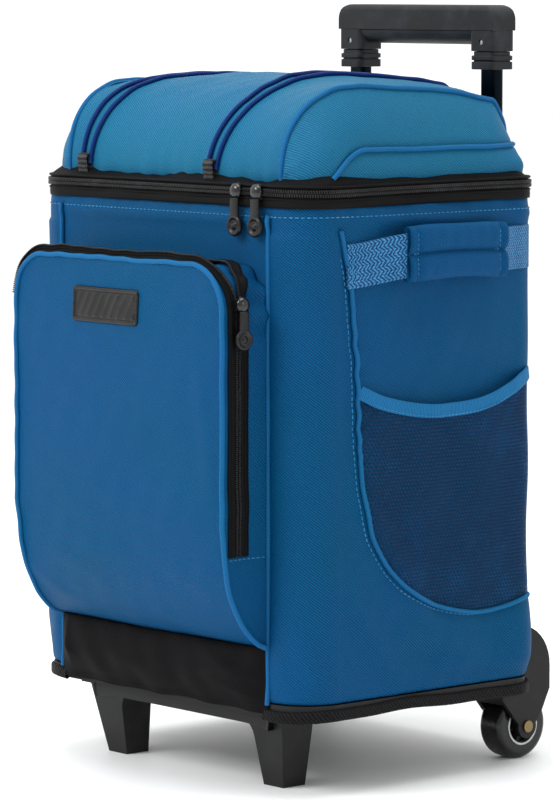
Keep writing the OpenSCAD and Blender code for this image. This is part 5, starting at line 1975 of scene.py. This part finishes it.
@dataclass
class Wheels:
    """Two wheels in ribbed housings at the lower back corners."""

    def build(self) -> None:
        """Softens the housings' edges and dresses the running parts."""
        for side in ("left", "right"):
            softened(f"{side}_wheel_housing", f"{side}_housing", "bag", "black_plastic", POLYPROPYLENE,
                     0.9, 3)
            dress_node(f"{side}_axle", BRONZE)
            dress_node(f"{side}_tyre", TYRE)
            dress_node(f"{side}_hub", POLYPROPYLENE)
            dress_node(f"{side}_bush", ZINC)
            self.rim(side)
        dress_node("housing_screws", ZINC)

    def rim(self, side: str) -> None:
        """A bright ring and moulded spokes on both faces of a hub: arcs and bars carried round the axle.

        Args:
            side: left or right.
        """
        box = Box.of(f"{side}_tyre")
        y, z, radius = box.mid(1), box.mid(2), box.size(1) / 2
        a = np.linspace(0, 2 * math.pi, 64, endpoint=False)
        rings, bars = [], []
        for x, out in ((box.low[0], -1), (box.high[0], 1)):
            circle = spots(x + out * 0.1, y + 0.56 * radius * np.cos(a), z + 0.56 * radius * np.sin(a))
            rings.append(tube(circle, flat_ring(1.9, 1.0, 0.4), [out, 0, 0], closed=True))
            for k in range(6):
                b = math.radians(60 * k + 15)
                r = np.linspace(0.24, 0.54, 6) * radius
                path = spots(x - out * 3.2, y + r * math.cos(b), z + r * math.sin(b))
                bars.append(tube(path, flat_ring(3.0, 2.6, 0.8), [out, 0, 0]))
        piece(f"{side}_rim_ring", rings, f"{side}_wheel", "steel", ZINC)
        piece(f"{side}_hub_spokes", bars, f"{side}_wheel", "black_plastic", POLYPROPYLENE)


@dataclass
class PullHandle:
    """A three-stage telescoping handle behind the bag."""

    def build(self) -> None:
        """Softens the grip, the collars and the guides, and dresses the tubes, plugs and rivets."""
        softened("grip_upper_shell", "grip_top", "handle_grip_stage", "grip_plastic", GRIP_NYLON, 1.8, 4)
        softened("grip_lower_shell", "grip_underside", "handle_grip_stage", "grip_plastic", GRIP_NYLON,
                 1.2, 3)
        softened("grip_collars", "grip_ferrules", "handle_grip_stage", "grip_plastic", GRIP_NYLON, 0.6, 2)
        softened("mid_tube_collars", "stage_collars", "handle_mid_stage", "black_plastic", POLYPROPYLENE,
                 0.6, 2)
        for side in ("left", "right"):
            for stage in ("outer", "mid", "inner"):
                # The tubes take the anodised finish, whose blue tint is a painted reflection
                dress_node(f"{side}_{stage}_tube", ANODISED)
        softened("rear_crossbar", "tube_foot", "bag", "black_plastic", POLYPROPYLENE, 1.2, 3)
        softened("handle_top_guide", "tube_guide", "bag", "black_plastic", POLYPROPYLENE, 1.2, 3)
        dress_node("mid_tube_plugs", POLYPROPYLENE)
        dress_node("inner_tube_plugs", POLYPROPYLENE)
        dress_node("grip_rivets", ZINC)


@dataclass
class BackSleeve:
    """The black cloth cover over the tubes on the back panel."""

    def build(self) -> None:
        """A flat-fronted sleeve with round edges, sagging a little between the tubes."""
        box = Box.of("back_sleeve")
        w, d, y0 = box.size(0) / 2, box.size(1), box.low[1]
        r = 11.0
        corner = arc((w - r, d - r), r, 0, 90, 8)
        half = np.concatenate([[[w, 0.3]], corner])
        line = even(np.concatenate([half, half[::-1] * [-1, 1]]), 4.0)
        z = np.linspace(box.low[2], box.high[2], 70)
        x, y = line[:, :1] + 0 * z, line[:, 1:] + 0 * z
        edge = np.clip(y / (d - r), 0, 1)
        sag = 2.2 * np.exp(-((x / 46) ** 2)) * edge + 0.7 * ripple(x, z[None], 85, 14) * edge
        rows = np.stack([x, y0 + np.maximum(y - sag, 0.2), z[None] + 0 * x], 2)
        sleeve = piece("tube_sleeve", [grid(rows, flip=True)], "bag", "black_fabric", BLACK_CLOTH)
        solidify(sleeve, 1.2)
        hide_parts("back_sleeve")
        seams = []
        for sign in (-1, 1):
            at = spots(sign * (w + 0.4), y0 + 6.0, np.linspace(z[0] + 2, z[-1] - 2, 60))
            seams.append(stitches(at, [sign, 0, 0], 3.2, 1.6, 0.5))
        bead_piece("sleeve_stitching", seams, "bag", "black_fabric", DARK_THREAD)


# ---------- stage ----------


@dataclass
class Studio:
    """A pale seamless floor under soft light, and the camera."""

    place_at: tuple = (2.4579, -2.1499, 0.6032)
    aim: tuple = (-0.0031, -0.0036, 0.2793)
    lens: float = 190.1

    def build(self) -> None:
        """Makes the camera, the floor, the world and three soft lights."""
        scene = bpy.context.scene
        scene.view_settings.view_transform = "Standard"
        scene.view_settings.look = "None"
        scene.view_settings.exposure = 0.0
        lens = bpy.data.cameras.new("camera")
        lens.lens = self.lens
        lens.sensor_width = 36.0
        lens.clip_end = 60
        camera = bpy.data.objects.new("camera", lens)
        scene.collection.objects.link(camera)
        self.turn(camera, self.place_at, self.aim)
        scene.camera = camera
        floor = bpy.data.meshes.new("floor")
        s = 12.0
        floor.from_pydata([(-s, -s, 0), (s, -s, 0), (s, s, 0), (-s, s, 0)], [], [(0, 1, 2, 3)])
        ground = bpy.data.objects.new("floor", floor)
        scene.collection.objects.link(ground)
        floor.materials.append(self.paper())
        ground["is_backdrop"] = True
        world = bpy.data.worlds.new("studio")
        world.use_nodes = True
        back = world.node_tree.nodes["Background"]
        back.inputs[0].default_value = (1.0, 1.0, 1.0, 1.0)
        sky = world.node_tree
        way = add(sky, "TexCoord").outputs["Generated"]
        away = add(sky, "VectorMath", {0: way, 1: (-0.753, 0.658, 0.0)}, operation="DOT_PRODUCT")
        fade = add(sky, "MapRange", {0: away.outputs[1], 1: -0.5, 2: 0.2, 3: 0.75, 4: 1.2})
        sky.links.new(fade.outputs[0], back.inputs[1])
        scene.world = world
        self.light("key", (-0.6, -2.6, 2.4), (0, 0, 0.3), 1.5, 72.0)
        self.light("top", (0.3, -0.1, 2.6), (0, 0, 0.4), 1.6, 34.0)
        self.light("side", (3.0, 0.5, 1.1), (0, 0, 0.25), 1.0, 8.0)

    @staticmethod
    def turn(obj: Object, place_at: Sequence[float], aim: Sequence[float]) -> None:
        """Puts an object somewhere and points it at a place."""
        obj.location = place_at
        obj.rotation_euler = (Vector(aim) - Vector(place_at)).to_track_quat("-Z", "Y").to_euler()

    def light(self, name: str, place_at: tuple, aim: tuple, size: float, power: float) -> None:
        """A square soft light.

        Args:
            name: its name.
            place_at: where it stands, in metres.
            aim: the place it points at.
            size: its side in metres.
            power: its power in watts.
        """
        data = bpy.data.lights.new(name, "AREA")
        data.shape = "SQUARE"
        data.size = size
        data.energy = power
        lamp = bpy.data.objects.new(name, data)
        bpy.context.scene.collection.objects.link(lamp)
        self.turn(lamp, place_at, aim)

    @staticmethod
    def paper() -> Material:
        """Matt white background paper with faint fibre."""
        made = bpy.data.materials.new("background_paper_white")
        made.use_nodes = True
        tree = made.node_tree
        shader = tree.nodes["Principled BSDF"]
        shader.inputs["Base Color"].default_value = linear("#fafbfb")
        shader.inputs["Roughness"].default_value = 0.55
        fibre = add(tree, "TexNoise", {"Scale": 400.0})
        bump = add(tree, "Bump", {"Height": fibre.outputs[0], "Strength": 0.05})
        tree.links.new(bump.outputs[0], shader.inputs["Normal"])
        return made


def main() -> None:
    """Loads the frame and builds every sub-assembly in order."""
    logging.basicConfig(level=logging.INFO, format="%(message)s")
    NODES.update(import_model()["nodes"])
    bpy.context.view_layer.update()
    Studio().build()
    bag = BagBody()
    pocket = FrontPocket(bag)
    lid = Lid(bag)
    builders = [bag, Boot(bag), pocket, Badge(pocket), lid, LidCords(lid), MainZipper(bag)]
    for sign, name in ((-1.0, "left"), (1.0, "right")):
        builders += [SidePocket(bag, sign, name), CarryHandle(bag, sign, name)]
    builders += [Base(bag), Wheels(), PullHandle(), BackSleeve()]
    for builder in builders:
        before = len(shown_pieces())
        builder.build()
        LOG.info("%s: %d more pieces", type(builder).__name__, len(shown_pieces()) - before)
    dress_node("foam_lining", FOAM)
    dress_node("tub_liner", LINER)


if __name__ == "__main__":
    main()
